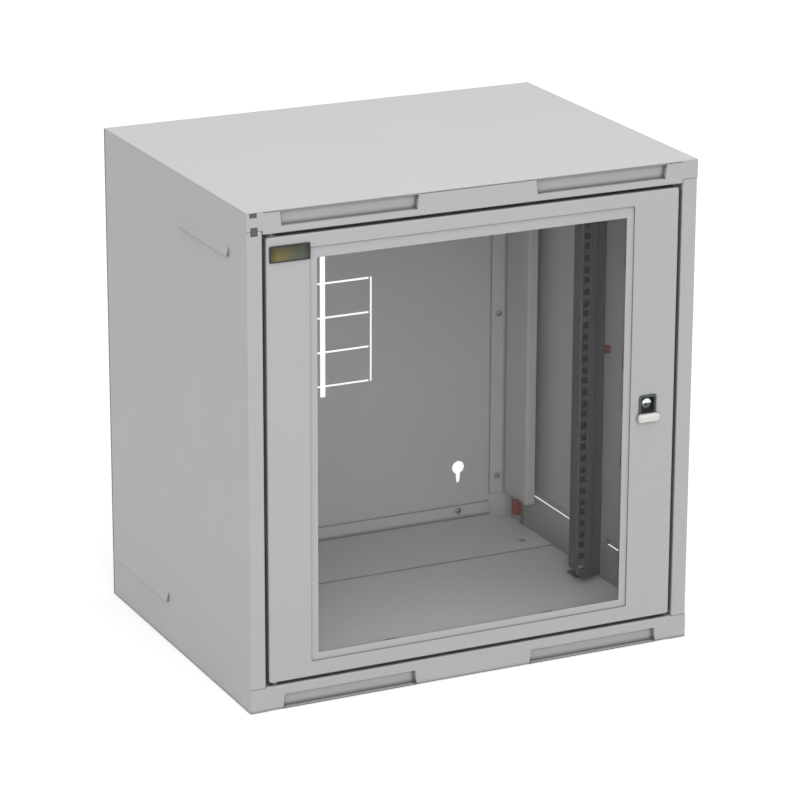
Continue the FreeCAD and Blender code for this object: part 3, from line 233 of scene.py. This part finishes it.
def float_glass(name, code, shade):
    """Toughened float glass: clear and flat, with a very slow roll; lamps shine through it with a slight loss."""
    material, tree, output = new_material(name)
    place = add_node(tree, "ShaderNodeTexCoord").outputs["Object"]
    bump = add_node(tree, "ShaderNodeBump", {"Height": noise(tree, place, 220, 1.0), "Distance": 0.15 * MM})
    glass = add_node(tree, "ShaderNodeBsdfPrincipled", {
        "Base Color": linear(code), "Roughness": 0.0, "IOR": 1.25, "Transmission Weight": 1.0,
        "Normal": bump.outputs["Normal"]})
    clear = add_node(tree, "ShaderNodeBsdfTransparent", {"Color": linear(shade)})
    ray = add_node(tree, "ShaderNodeLightPath")
    mixed = add_node(tree, "ShaderNodeMixShader", {"Fac": ray.outputs["Is Shadow Ray"]})
    tree.links.new(glass.outputs["BSDF"], mixed.inputs[1])
    tree.links.new(clear.outputs["BSDF"], mixed.inputs[2])
    tree.links.new(mixed.outputs["Shader"], output.inputs["Surface"])
    return material


def badge_field(name, code, second, centre, half_x, half_z):
    """Screen printed field of a doming badge: dull olive gold that fades to grey along its length, mottled. It is
    darker towards its ends and its upper edge."""
    material, tree, output = new_material(name)
    place = add_node(tree, "ShaderNodeTexCoord").outputs["Object"]
    centred = add_node(tree, "ShaderNodeMapping", {"Vector": place, "Location": (-centre[0], 0.0, -centre[1])})
    axes = add_node(tree, "ShaderNodeSeparateXYZ", {"Vector": centred.outputs["Vector"]})
    blend = add_node(tree, "ShaderNodeMapRange", {
        "Value": axes.outputs["X"], "From Min": -0.75 * half_x, "From Max": 0.35 * half_x})
    mixed = add_node(tree, "ShaderNodeMix", {
        "Factor": blend.outputs["Result"], "A": linear(code), "B": linear(second)}, data_type="RGBA")
    from_middle = add_node(tree, "ShaderNodeMath", {0: axes.outputs["X"]}, operation="ABSOLUTE")
    ends = add_node(tree, "ShaderNodeMapRange", {
        "Value": from_middle.outputs["Value"], "From Min": 0.62 * half_x, "From Max": 0.98 * half_x,
        "To Min": 1.0, "To Max": 0.3})
    rise = add_node(tree, "ShaderNodeMapRange", {
        "Value": axes.outputs["Z"], "From Min": -0.3 * half_z, "From Max": 0.95 * half_z,
        "To Min": 1.0, "To Max": 0.42})
    patches = ramp_between(tree, noise(tree, place, 4.5, 3.0), 0.62, 1.38)
    shade = product(tree, product(tree, ends.outputs["Result"], rise.outputs["Result"]), patches)
    colour = add_node(tree, "ShaderNodeHueSaturation", {"Color": mixed.outputs["Result"], "Value": shade})
    principled(tree, output, Base_Color=colour.outputs["Color"], Roughness=0.3, IOR=1.5, Metallic=0.3)
    return material


def studio_floor(name, code):
    """Matt paper sweep: keeps the soft shadow, and reads as white to the eye and to reflections."""
    material, tree, output = new_material(name)
    place = add_node(tree, "ShaderNodeTexCoord").outputs["Object"]
    away = add_node(tree, "ShaderNodeVectorMath", {0: place}, operation="LENGTH")
    level = add_node(tree, "ShaderNodeMapRange", {
        "Value": away.outputs["Value"], "From Min": 0.5, "From Max": 2.4, "To Min": 0.46, "To Max": 0.63})
    glow = product(tree, seen_directly(tree), level.outputs["Result"])
    matt = add_node(tree, "ShaderNodeBsdfDiffuse", {"Color": linear(code)})
    lift = add_node(tree, "ShaderNodeEmission", {"Color": (1, 1, 1, 1), "Strength": glow})
    both = add_node(tree, "ShaderNodeAddShader")
    tree.links.new(matt.outputs["BSDF"], both.inputs[0])
    tree.links.new(lift.outputs["Emission"], both.inputs[1])
    tree.links.new(both.outputs["Shader"], output.inputs["Surface"])
    return material


def coat_nodes(material, *names):
    """Gives CAD nodes one material each, in place of what they came with."""
    for name in names:
        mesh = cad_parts[name].data
        mesh.materials.clear()
        mesh.materials.append(material)


# ---------------------------------------------------------------- mesh helpers

def rounded_outline(half_x, half_z, radius, steps=7):
    """Closed rounded rectangle: each corner is the arc centre + radius * (cos a, sin a)."""
    turn = np.linspace(0.0, np.pi / 2, steps)
    angle = (np.arange(4)[:, None] * np.pi / 2 + turn).ravel()
    side_x = np.repeat([1.0, -1.0, -1.0, 1.0], steps)
    side_z = np.repeat([1.0, 1.0, -1.0, -1.0], steps)
    x = side_x * (half_x - radius) + radius * np.cos(angle)
    z = side_z * (half_z - radius) + radius * np.sin(angle)
    return x, z


def loft(rings, around=False):
    """Closed skin over an array of rings (ring, point, xyz): quads between neighbours, and one face at each end,
    or quads from the last ring back to the first, which makes a skin with a hole through it."""
    rings = np.asarray(rings, dtype=float)
    count, size = rings.shape[:2]
    ring, point = np.meshgrid(np.arange(count if around else count - 1), np.arange(size), indexing="ij")
    following = (point + 1) % size
    above = (ring + 1) % count
    quads = np.stack([ring * size + point, ring * size + following, above * size + following, above * size + point],
                     axis=-1)
    faces = quads.reshape(-1, 4).tolist()
    if not around:
        faces.append(list(range(size))[::-1])
        faces.append(list(range((count - 1) * size, count * size)))
    return rings.reshape(-1, 3), faces


def gather(skins):
    """One skin from several (points, faces): the points in a row, the faces counted on."""
    starts = np.cumsum([0] + [len(points) for points, faces in skins[:-1]])
    faces = [(np.asarray(face) + start).tolist() for start, skin in zip(starts, skins) for face in skin[1]]
    return np.concatenate([points for points, faces in skins]), faces


def screw_rings(head_r, head_h, shank_r, pitch, length, count=40):
    """Pan head screw in mm, its seat at height 0 and its head upwards: rings from the middle of the head outwards.

    Head: height = top - 0.45 top (r / R)^5 - cross, the cross being two slots whose walls lean in to the middle.
    Shank: radius = R - 0.6 pitch |2 fraction(depth / pitch + turn) - 1|, which is a screw thread.
    """
    turn = np.linspace(0, 2 * np.pi, count, endpoint=False)[None, :]
    share = np.array([0.02, 0.09, 0.16, 0.23, 0.3, 0.37, 0.44, 0.51, 0.58, 0.66, 0.76, 0.86, 0.94, 1.0])
    reach = head_r * share[:, None]
    side, ahead = np.abs(reach * np.sin(turn)), np.abs(reach * np.cos(turn))
    walls = np.clip((0.17 * head_r - np.minimum(side, ahead)) / (0.09 * head_r), 0, 1)
    ends = np.clip((0.58 * head_r - np.maximum(side, ahead)) / (0.2 * head_r), 0, 1)
    top = head_h * (1 - 0.45 * (reach / head_r) ** 5) - 0.72 * head_h * walls * ends
    under = np.array([[0.985 * head_r, 0.08 * head_h], [0.95 * head_r, 0.0]])
    depth = np.arange(0, length, pitch / 6)[:, None]
    wave = np.abs(2 * np.mod(depth / pitch + turn / (2 * np.pi), 1) - 1)
    point = np.clip((length - depth) / pitch, 0.35, 1)
    shank = shank_r - 0.6 * pitch * wave - 0.5 * pitch * (1 - point)
    radius = np.concatenate([reach + 0 * turn, under[:, :1] + 0 * turn, shank])
    height = np.concatenate([top, under[:, 1:] + 0 * turn, -depth + 0 * turn])
    return np.stack([radius * np.cos(turn), radius * np.sin(turn), height], axis=-1)[:, ::-1] * MM


def stud_rings(radius, pitch, length, count=32):
    """Threaded stud in mm from height 0 up to its length, its end rings drawn in to a lead."""
    turn = np.linspace(0, 2 * np.pi, count, endpoint=False)[None, :]
    height = np.arange(0, length, pitch / 6)[:, None]
    wave = np.abs(2 * np.mod(height / pitch + turn / (2 * np.pi), 1) - 1)
    lead = np.clip((length - height) / pitch, 0.2, 1)
    reach = radius - 0.6 * pitch * wave - 0.45 * pitch * (1 - lead)
    return np.stack([reach * np.cos(turn), reach * np.sin(turn), height + 0 * turn], axis=-1) * MM


def nut_rings(flats, height, bore, count=48):
    """Hexagon nut in mm: rings from the bore's foot over the outside and back to the bore's head. A ring's radius
    is the lesser of the hexagon, flats / 2 / cos(turn from the nearest flat), and the ring's own chamfer cone."""
    turn = np.linspace(0, 2 * np.pi, count, endpoint=False)[None, :]
    from_flat = np.mod(turn + np.pi / 6, np.pi / 3) - np.pi / 6
    hexagon = flats / 2 / np.cos(from_flat)
    cone = flats / 2 * np.array([0.96, 1.04, 1.16, 1.16, 1.04, 0.96])[:, None]
    level = height * np.array([0.0, 0.06, 0.16, 0.84, 0.94, 1.0])[:, None]
    outside = np.minimum(hexagon, cone)
    inside = bore * np.array([1.0, 1.1])[:, None] + 0 * turn
    radius = np.concatenate([inside[:1], inside[1:], outside, inside[1:], inside[:1]])
    rise = np.concatenate([[[0.08 * height], [0.0]], level, [[height], [0.92 * height]]]) + 0 * turn
    return np.stack([radius * np.cos(turn), radius * np.sin(turn), rise], axis=-1) * MM


def spring_rings(radius, wire, low, high, coils=6, steps=36, sides=12):
    """Compression spring in mm about the Z axis: a circle of wire carried along a helix whose pitch falls to one
    wire over its first and last coil. Height is the running sum of the pitch, scaled to fill low to high."""
    free_pitch = 4.6
    coil = np.linspace(0, coils, coils * steps + 1)
    active = np.clip(coil - 0.5, 0, 1) * np.clip(coils - 0.5 - coil, 0, 1)
    pitch = 2 * wire + (free_pitch - 2 * wire) * active
    height = np.concatenate([[0.0], np.cumsum((pitch[1:] + pitch[:-1]) / 2 / steps)])
    height = low + wire + height / height[-1] * (high - low - 2 * wire)
    angle = 2 * np.pi * coil
    centre = np.stack([radius * np.cos(angle), radius * np.sin(angle), height], axis=-1)
    outward = np.stack([np.cos(angle), np.sin(angle), 0 * angle], axis=-1)
    along = np.gradient(centre, axis=0)
    along /= np.linalg.norm(along, axis=1, keepdims=True)
    across = np.cross(along, outward)
    turn = np.linspace(0, 2 * np.pi, sides, endpoint=False)[None, :, None]
    rings = centre[:, None] + wire * (np.cos(turn) * outward[:, None] + np.sin(turn) * across[:, None])
    return rings * MM


def placed(rings, seat, outward):
    """Turns rings drawn along +Z to the outward axis, +-Y or +-Z, and moves them to their seat in mm."""
    x, y, z = rings[..., 0], rings[..., 1], rings[..., 2]
    if outward[2]:
        turned = (x, outward[2] * y, outward[2] * z)
    else:
        turned = (x, outward[1] * z, -outward[1] * y)
    return np.stack(turned, axis=-1) + np.array(seat) * MM


def add_piece(name, points, faces, materials, body, indices=None, smooth=True, crease=None):
    """Makes a mesh piece with its place in its mesh, gives it its materials and lets it ride on a body. Edges that
    turn by more than the crease angle are shaded sharp."""
    mesh = bpy.data.meshes.new(name)
    mesh.from_pydata(np.asarray(points), [], faces)
    for material in materials:
        mesh.materials.append(material)
    if indices is not None:
        mesh.polygons.foreach_set("material_index", indices)
    mesh.polygons.foreach_set("use_smooth", [smooth] * len(mesh.polygons))
    mesh.update()
    if crease:
        mesh.set_sharp_from_angle(angle=crease)
    piece = bpy.data.objects.new(name, mesh)
    bpy.context.scene.collection.objects.link(piece)
    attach(piece, body)
    return piece


# ---------------------------------------------------------------- settings

class CabinetFinishes(bpy.types.PropertyGroup):
    """Colours of the finishes, as sRGB hex codes."""
    case: bpy.props.StringProperty(name="Case enamel", description="Light grey powder coat of case and door",
                                   default="#CACACA")
    rail: bpy.props.StringProperty(name="Rail enamel", description="Anthracite powder coat of the rack rails",
                                   default="#48494C")
    zinc: bpy.props.StringProperty(name="Zinc", description="Plating of screws, nuts and brackets", default="#B9BCBD")
    lock: bpy.props.StringProperty(name="Lock plastic", description="Moulded housing of the lock", default="#464D4D")
    lip: bpy.props.StringProperty(name="Lip plastic", description="Pull lip at the foot of the lock",
                                  default="#FAF9F6")
    red: bpy.props.StringProperty(name="Red plastic", description="Plastic clips inside the case", default="#8E2818")
    badge: bpy.props.StringProperty(name="Badge field", description="Bare field of the badge plate",
                                    default="#7B6E33")


class CabinetSizes(bpy.types.PropertyGroup):
    """Sizes of the pieces that are added to the case."""
    badge_width: bpy.props.FloatProperty(name="Badge width", description="Width of the badge plate",
                                         default=0.052, unit="LENGTH")
    badge_height: bpy.props.FloatProperty(name="Badge height", description="Height of the badge plate",
                                          default=0.020, unit="LENGTH")
    badge_thickness: bpy.props.FloatProperty(name="Badge thickness", description="How far the badge plate stands out",
                                             default=0.0012, unit="LENGTH")


class CabinetStudio(bpy.types.PropertyGroup):
    """Lamps and surroundings."""
    key: bpy.props.FloatProperty(name="Key lamp", description="Power of the overhead soft box", default=42.0,
                                 unit="POWER")
    fill: bpy.props.FloatProperty(name="Fill lamp", description="Power of the front soft box", default=22.0,
                                  unit="POWER")
    surround: bpy.props.FloatProperty(name="Surround", description="Strength of the light from all round",
                                      default=0.43, min=0.0)


# ---------------------------------------------------------------- operators

class CABINET_OT_case_finish(bpy.types.Operator):
    """Powder coat the folded sheets of the case"""
    bl_idname = "cabinet.case_finish"
    bl_label = "Case finish"

    def execute(self, context):
        # The case coat paints shade into its seams and recesses and under its louvre hoods.
        coat = powder_coat("light_grey_powder_coat", context.scene.cabinet_finishes.case, 1.6, 0.42, 0.03)
        coat_nodes(coat, "top_cover", "ceiling_panel", "floor_panel", "side_panel_left", "side_panel_right",
                   "back_panel", "front_rail_top", "front_rail_bottom", "rear_post_left", "rear_post_right",
                   "cable_cover_bottom", "cable_cover_top", "door_stops", "door_skin", "pin_guide")
        return {"FINISHED"}


class CABINET_OT_rack_rail_finish(bpy.types.Operator):
    """Powder coat the two rack rails in anthracite"""
    bl_idname = "cabinet.rack_rail_finish"
    bl_label = "Rack rail finish"

    def execute(self, context):
        # The rail coat paints deep shade into its square holes and a highlight along their cut edges.
        coat = powder_coat("anthracite_powder_coat", context.scene.cabinet_finishes.rail, 1.2, 0.48, 0.015,
                           shade_reach_mm=30.0, darkest_painted_shade=0.2, edge_highlight_gain=2.2)
        coat_nodes(coat, "rack_rail_left", "rack_rail_right")
        return {"FINISHED"}


class CABINET_OT_fastener_finish(bpy.types.Operator):
    """Zinc plate the screws, nuts, clips, studs, pins and the spring"""
    bl_idname = "cabinet.fastener_finish"
    bl_label = "Fastener finish"

    def execute(self, context):
        zinc = zinc_plate("zinc_plated_steel", context.scene.cabinet_finishes.zinc)
        coat_nodes(zinc, "wall_screws", "cover_screws", "rail_screws", "rail_nuts", "glass_clips", "clip_studs",
                   "clip_nuts", "hinge_pin_bottom", "hinge_pin_top", "pin_spring", "cam_screw", "lock_cam",
                   "lock_nut")
        return {"FINISHED"}


class CABINET_OT_plastic_finish(bpy.types.Operator):
    """Colour the red clips, the hinge bushes, the rubber buffers and the foam seal"""
    bl_idname = "cabinet.plastic_finish"
    bl_label = "Plastic and rubber finish"

    def execute(self, context):
        red = moulded_plastic("red_polyamide", context.scene.cabinet_finishes.red, 0.42, 0.8)
        coat_nodes(red, "post_clips", "rail_clips")
        coat_nodes(moulded_plastic("grey_acetal", "#B4B4B2", 0.38, 0.6), "hinge_bush_bottom", "hinge_bush_top")
        coat_nodes(moulded_plastic("black_rubber", "#161616", 0.7, 0.5), "door_buffers")
        coat_nodes(closed_foam("black_foam_tape", "#1B1B1C"), "glass_seal")
        return {"FINISHED"}


class CABINET_OT_pane_finish(bpy.types.Operator):
    """Make the door's pane clear float glass"""
    bl_idname = "cabinet.pane_finish"
    bl_label = "Pane finish"

    def execute(self, context):
        coat_nodes(float_glass("toughened_float_glass", "#FBFBFA", "#EDEDEC"), "door_glass")
        return {"FINISHED"}


class CABINET_OT_lock_finish(bpy.types.Operator):
    """Dark housing, off-white pull lip, nickel plated plug and chrome plated key cap"""
    bl_idname = "cabinet.lock_finish"
    bl_label = "Lock finish"

    def execute(self, context):
        finishes = context.scene.cabinet_finishes
        coat_nodes(moulded_plastic("dark_grey_polyamide", finishes.lock, 0.4, 0.8), "lock_housing")
        coat_nodes(moulded_plastic("off_white_polyamide", finishes.lip, 0.36, 0.8), "lock_lip")
        coat_nodes(bright_chrome("dark_nickel_plate", "#5A6062"), "lock_cylinder")
        coat_nodes(bright_chrome("chromium_plate", "#D8DADB"), "key_cap")
        return {"FINISHED"}


class CABINET_OT_badge_plate(bpy.types.Operator):
    """Build the bare badge plate on the door's upper hinge side corner"""
    bl_idname = "cabinet.badge_plate"
    bl_label = "Badge plate"

    def execute(self, context):
        sizes = context.scene.cabinet_sizes
        low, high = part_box("door_skin")
        centre_x = low[0] + 0.030
        centre_z = high[2] - 0.021
        face = low[1]
        half_x, half_z, thick = sizes.badge_width / 2, sizes.badge_height / 2, sizes.badge_thickness
        inset = np.array([0.0, 0.0, 0.1, 0.3, 0.6, 1.3, 1.5, 1.6, 4.0]) * MM
        level = np.array([-0.0002 / thick, 0.7, 0.92, 1.0, 1.0, 1.0, 0.93, 0.72, 0.72]) * thick
        rings = []
        for step, height in zip(inset, level):
            x, z = rounded_outline(half_x - step, half_z - step, max(1.6 * MM - step, 0.3 * MM))
            rings.append(np.stack([centre_x + x, np.full_like(x, face - height), centre_z + z], axis=1))
        points, faces = loft(rings)
        size = len(rings[0])
        indices = np.zeros(len(faces), dtype=np.int32)
        indices[7 * size:8 * size] = 1
        indices[-1] = 1
        rim = moulded_plastic("black_badge_rim", "#141515", 0.3, 0.8)
        field = badge_field("bare_badge_field", context.scene.cabinet_finishes.badge, "#565A4B",
                            (centre_x, centre_z), half_x, half_z)
        add_piece("badge_plate", points, faces, [rim, field], "door", indices, smooth=False)
        return {"FINISHED"}


class CABINET_OT_corner_tongues(bpy.types.Operator):
    """Build the two tongues that fill the windows at the upper left corner"""
    bl_idname = "cabinet.corner_tongues"
    bl_label = "Corner tongues"

    def execute(self, context):
        low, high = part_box("front_rail_top")
        face = low[1] + 0.4 * MM
        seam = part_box("side_panel_left")[1][2]
        inset = np.array([0.9, 0.35, 0.0, 0.0, 0.25, 0.8, 2.2]) * MM
        depth = np.array([1.5, 1.3, 1.1, 0.35, 0.1, 0.0, -0.08]) * MM
        skins = []
        for centre_x, centre_z, half_x, half_z in (
                (low[0] + 10.0 * MM, seam - 22.5 * MM, 4.25 * MM, 5.0 * MM),
                (low[0] + 9.0 * MM, seam - 2.75 * MM, 4.25 * MM, 2.5 * MM)):
            rings = []
            for step, back in zip(inset, depth):
                x, z = rounded_outline(half_x - step, half_z - step, max(1.0 * MM - step, 0.25 * MM))
                rings.append(np.stack([centre_x + x, np.full_like(x, face + back), centre_z + z], axis=1))
            skins.append(loft(rings))
        points, faces = gather(skins)
        taupe = moulded_plastic("taupe_polyamide", "#685D54", 0.5, 0.7)
        add_piece("corner_tongues", points, faces, [taupe], "cabinet", crease=0.6)
        return {"FINISHED"}


class CABINET_OT_screws(bpy.types.Operator):
    """Build the threaded pan head screws of the wall, the cable covers, the rails and the cam"""
    bl_idname = "cabinet.screws"
    bl_label = "Screws"

    def execute(self, context):
        zinc = bpy.data.materials["zinc_plated_steel"]
        wall = [((side * x, WALL_SCREW_SEAT_Y, z), (0, -1, 0)) for side in BOTH_SIDES for x, z in WALL_SCREW_PLACES]
        cover = [((side * COVER_SCREW_X, COVER_SCREW_Y, z), (0, 0, up))
                 for side in BOTH_SIDES for z, up in COVER_SCREW_SEATS]
        rail = [((side * RAIL_SCREW_X, RAIL_SCREW_Y, z), (0, 0, up))
                for side in BOTH_SIDES for z, up in RAIL_SCREW_SEATS]
        cam = [((LOCK_X, CAM_SCREW_SEAT_Y, LOCK_Z), (0, 1, 0))]
        m4 = screw_rings(3.8, 2.4, 2.0, 0.7, 2.6)
        m4_long = screw_rings(3.8, 2.4, 2.0, 0.7, 7.9)
        m6 = screw_rings(5.6, 3.4, 3.0, 1.0, 11.8)
        m3 = screw_rings(3.8, 2.4, 1.5, 0.5, 7.9)
        for name, rings, places, body in (
                ("wall_screws", m4, wall, "cabinet"), ("cover_screws", m4_long, cover, "cabinet"),
                ("rail_screws", m6, rail, "cabinet"), ("cam_screw", m3, cam, "latch")):
            points, faces = gather([loft(placed(rings, seat, outward)) for seat, outward in places])
            piece = add_piece("threaded_" + name, points, faces, [zinc], body, crease=0.6)
            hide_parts(name)
        return {"FINISHED"}


class CABINET_OT_nuts(bpy.types.Operator):
    """Build the chamfered nuts of the glass clips, the rails and the lock, and the threaded clip studs"""
    bl_idname = "cabinet.nuts"
    bl_label = "Nuts and studs"

    def execute(self, context):
        zinc = bpy.data.materials["zinc_plated_steel"]
        low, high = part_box("clip_studs")
        low_x, high_x = low[0] / MM + CLIP_STUD_R, high[0] / MM - CLIP_STUD_R
        low_z, high_z = low[2] / MM + CLIP_STUD_R, high[2] / MM - CLIP_STUD_R
        sides = [(x, low_z + CLIP_SIDE_START + CLIP_SIDE_PITCH * step) for step in range(4) for x in (low_x, high_x)]
        ends = [(x, z) for x in CLIP_END_X for z in (low_z, high_z)]
        clips = [((x, CLIP_STUD_FOOT_Y, z), (0, 1, 0)) for x, z in sides + ends]
        nuts = [((x, CLIP_NUT_FOOT_Y, z), (0, 1, 0)) for x, z in sides + ends]
        rails = [((side * RAIL_SCREW_X, RAIL_SCREW_Y, z), (0, 0, 1)) for side in BOTH_SIDES for z in RAIL_NUT_FEET]
        lock = [((LOCK_X, LOCK_NUT_FOOT_Y, LOCK_Z), (0, 1, 0))]
        for name, rings, places, body in (
                ("clip_studs", stud_rings(CLIP_STUD_R, 0.7, 6.2), clips, "door"),
                ("clip_nuts", nut_rings(7.0, 3.2, 2.05), nuts, "door"),
                ("rail_nuts", nut_rings(10.0, 5.0, 3.05), rails, "cabinet"),
                ("lock_nut", nut_rings(19.0, 3.5, 7.05), lock, "door")):
            skins = [loft(placed(rings, seat, outward), "nut" in name) for seat, outward in places]
            points, faces = gather(skins)
            piece = add_piece("turned_" + name, points, faces, [zinc], body, crease=0.5)
            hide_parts(name)
        return {"FINISHED"}


class CABINET_OT_hinge_spring(bpy.types.Operator):
    """Wind the spring under the upper hinge pin's collar"""
    bl_idname = "cabinet.hinge_spring"
    bl_label = "Hinge spring"

    def execute(self, context):
        zinc = bpy.data.materials["zinc_plated_steel"]
        low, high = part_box("pin_spring")
        foot, head = low[2] / MM, high[2] / MM
        axis = ((low[0] + high[0]) / 2, (low[1] + high[1]) / 2)
        points, faces = loft(spring_rings(SPRING_R, SPRING_WIRE_R, foot, head))
        points = points + np.array([axis[0], axis[1], 0.0])
        piece = add_piece("wound_hinge_spring", points, faces, [zinc], "door")
        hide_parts("pin_spring")
        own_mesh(piece)
        return {"FINISHED"}


class CABINET_OT_studio(bpy.types.Operator):
    """Lay the pale floor, hang the lamps and place the camera"""
    bl_idname = "cabinet.studio"
    bl_label = "Studio"

    def execute(self, context):
        scene = context.scene
        studio = scene.cabinet_studio
        scene.view_settings.view_transform = "Standard"

        span = np.array([-14.0, 14.0])
        x, y = np.meshgrid(span, span, indexing="ij")
        corners = np.stack([x.ravel(), y.ravel(), np.full(4, -0.0005)], axis=1)
        mesh = bpy.data.meshes.new("floor")
        mesh.from_pydata(corners, [], [(0, 2, 3, 1)])
        mesh.materials.append(studio_floor("white_paper_sweep", "#F2F2F2"))
        floor = bpy.data.objects.new("floor", mesh)
        scene.collection.objects.link(floor)

        lamps = (
            ("overhead_soft_box", (0.1, -0.9, 3.2), (0.0, -0.2, 0.3), 2.6, studio.key),
            ("front_soft_box", (-1.2, -3.4, 2.2), (0.0, -0.2, 0.3), 2.0, studio.fill),
        )
        for name, place, aim, size, power in lamps:
            data = bpy.data.lights.new(name, "AREA")
            data.shape = "SQUARE"
            data.size = size
            data.energy = power
            lamp = bpy.data.objects.new(name, data)
            scene.collection.objects.link(lamp)
            turn_to(lamp, place, aim)

        world = bpy.data.worlds.new("studio")
        scene.world = world
        world.use_nodes = True
        tree = world.node_tree
        tree.nodes.clear()
        strength = ramp_between(tree, seen_directly(tree), studio.surround, 1.0)
        sky = add_node(tree, "ShaderNodeBackground", {"Color": (1, 1, 1, 1), "Strength": strength})
        output = add_node(tree, "ShaderNodeOutputWorld")
        tree.links.new(sky.outputs["Background"], output.inputs["Surface"])

        data = bpy.data.cameras.new("camera")
        data.lens = 167.36
        data.sensor_width = 36.0
        camera = bpy.data.objects.new("camera", data)
        scene.collection.objects.link(camera)
        camera.matrix_world = camera_pose()
        scene.camera = camera
        return {"FINISHED"}


def turn_to(item, place, aim):
    """Puts a lamp at a place, its beam towards the aim."""
    item.location = place
    item.rotation_euler = (Vector(aim) - Vector(place)).to_track_quat("-Z", "Y").to_euler()


def camera_pose():
    """Camera 4.7 m in front of the case's middle, 25.7 degrees to its left and 18.1 above, with a slight roll."""
    right = Vector((0.90183, -0.43208, 0.00312)).normalized()
    up = Vector((0.13157, 0.28147, 0.95051)).normalized()
    back = right.cross(up).normalized()
    up = back.cross(right)
    pose = Matrix((right, up, back)).transposed().to_4x4()
    pose.translation = Vector((-1.93155, -4.25838, 1.75231))
    return pose


STEPS = (
    CABINET_OT_case_finish, CABINET_OT_rack_rail_finish, CABINET_OT_fastener_finish, CABINET_OT_plastic_finish,
    CABINET_OT_pane_finish, CABINET_OT_lock_finish, CABINET_OT_badge_plate, CABINET_OT_corner_tongues,
    CABINET_OT_screws, CABINET_OT_nuts, CABINET_OT_hinge_spring, CABINET_OT_studio,
)


class CABINET_PT_panel(bpy.types.Panel):
    """Settings and steps of the cabinet"""
    bl_idname = "CABINET_PT_panel"
    bl_label = "Wall cabinet"
    bl_space_type = "VIEW_3D"
    bl_region_type = "UI"
    bl_category = "Cabinet"

    def draw(self, context):
        for group in (context.scene.cabinet_finishes, context.scene.cabinet_sizes, context.scene.cabinet_studio):
            for name in group.bl_rna.properties.keys():
                if name not in ("rna_type", "name"):
                    self.layout.prop(group, name)
        for step in STEPS:
            self.layout.operator(step.bl_idname)


GROUPS = {"cabinet_finishes": CabinetFinishes, "cabinet_sizes": CabinetSizes, "cabinet_studio": CabinetStudio}


def register():
    for item in (*GROUPS.values(), *STEPS, CABINET_PT_panel):
        bpy.utils.register_class(item)
    for name, group in GROUPS.items():
        setattr(bpy.types.Scene, name, bpy.props.PointerProperty(type=group))


def unregister():
    for name in GROUPS:
        delattr(bpy.types.Scene, name)
    for item in reversed((*GROUPS.values(), *STEPS, CABINET_PT_panel)):
        bpy.utils.unregister_class(item)


def main():
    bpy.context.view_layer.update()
    register()
    for step in STEPS:
        area, name = step.bl_idname.split(".")
        getattr(getattr(bpy.ops, area), name)()


if __name__ == "__main__":
    main()
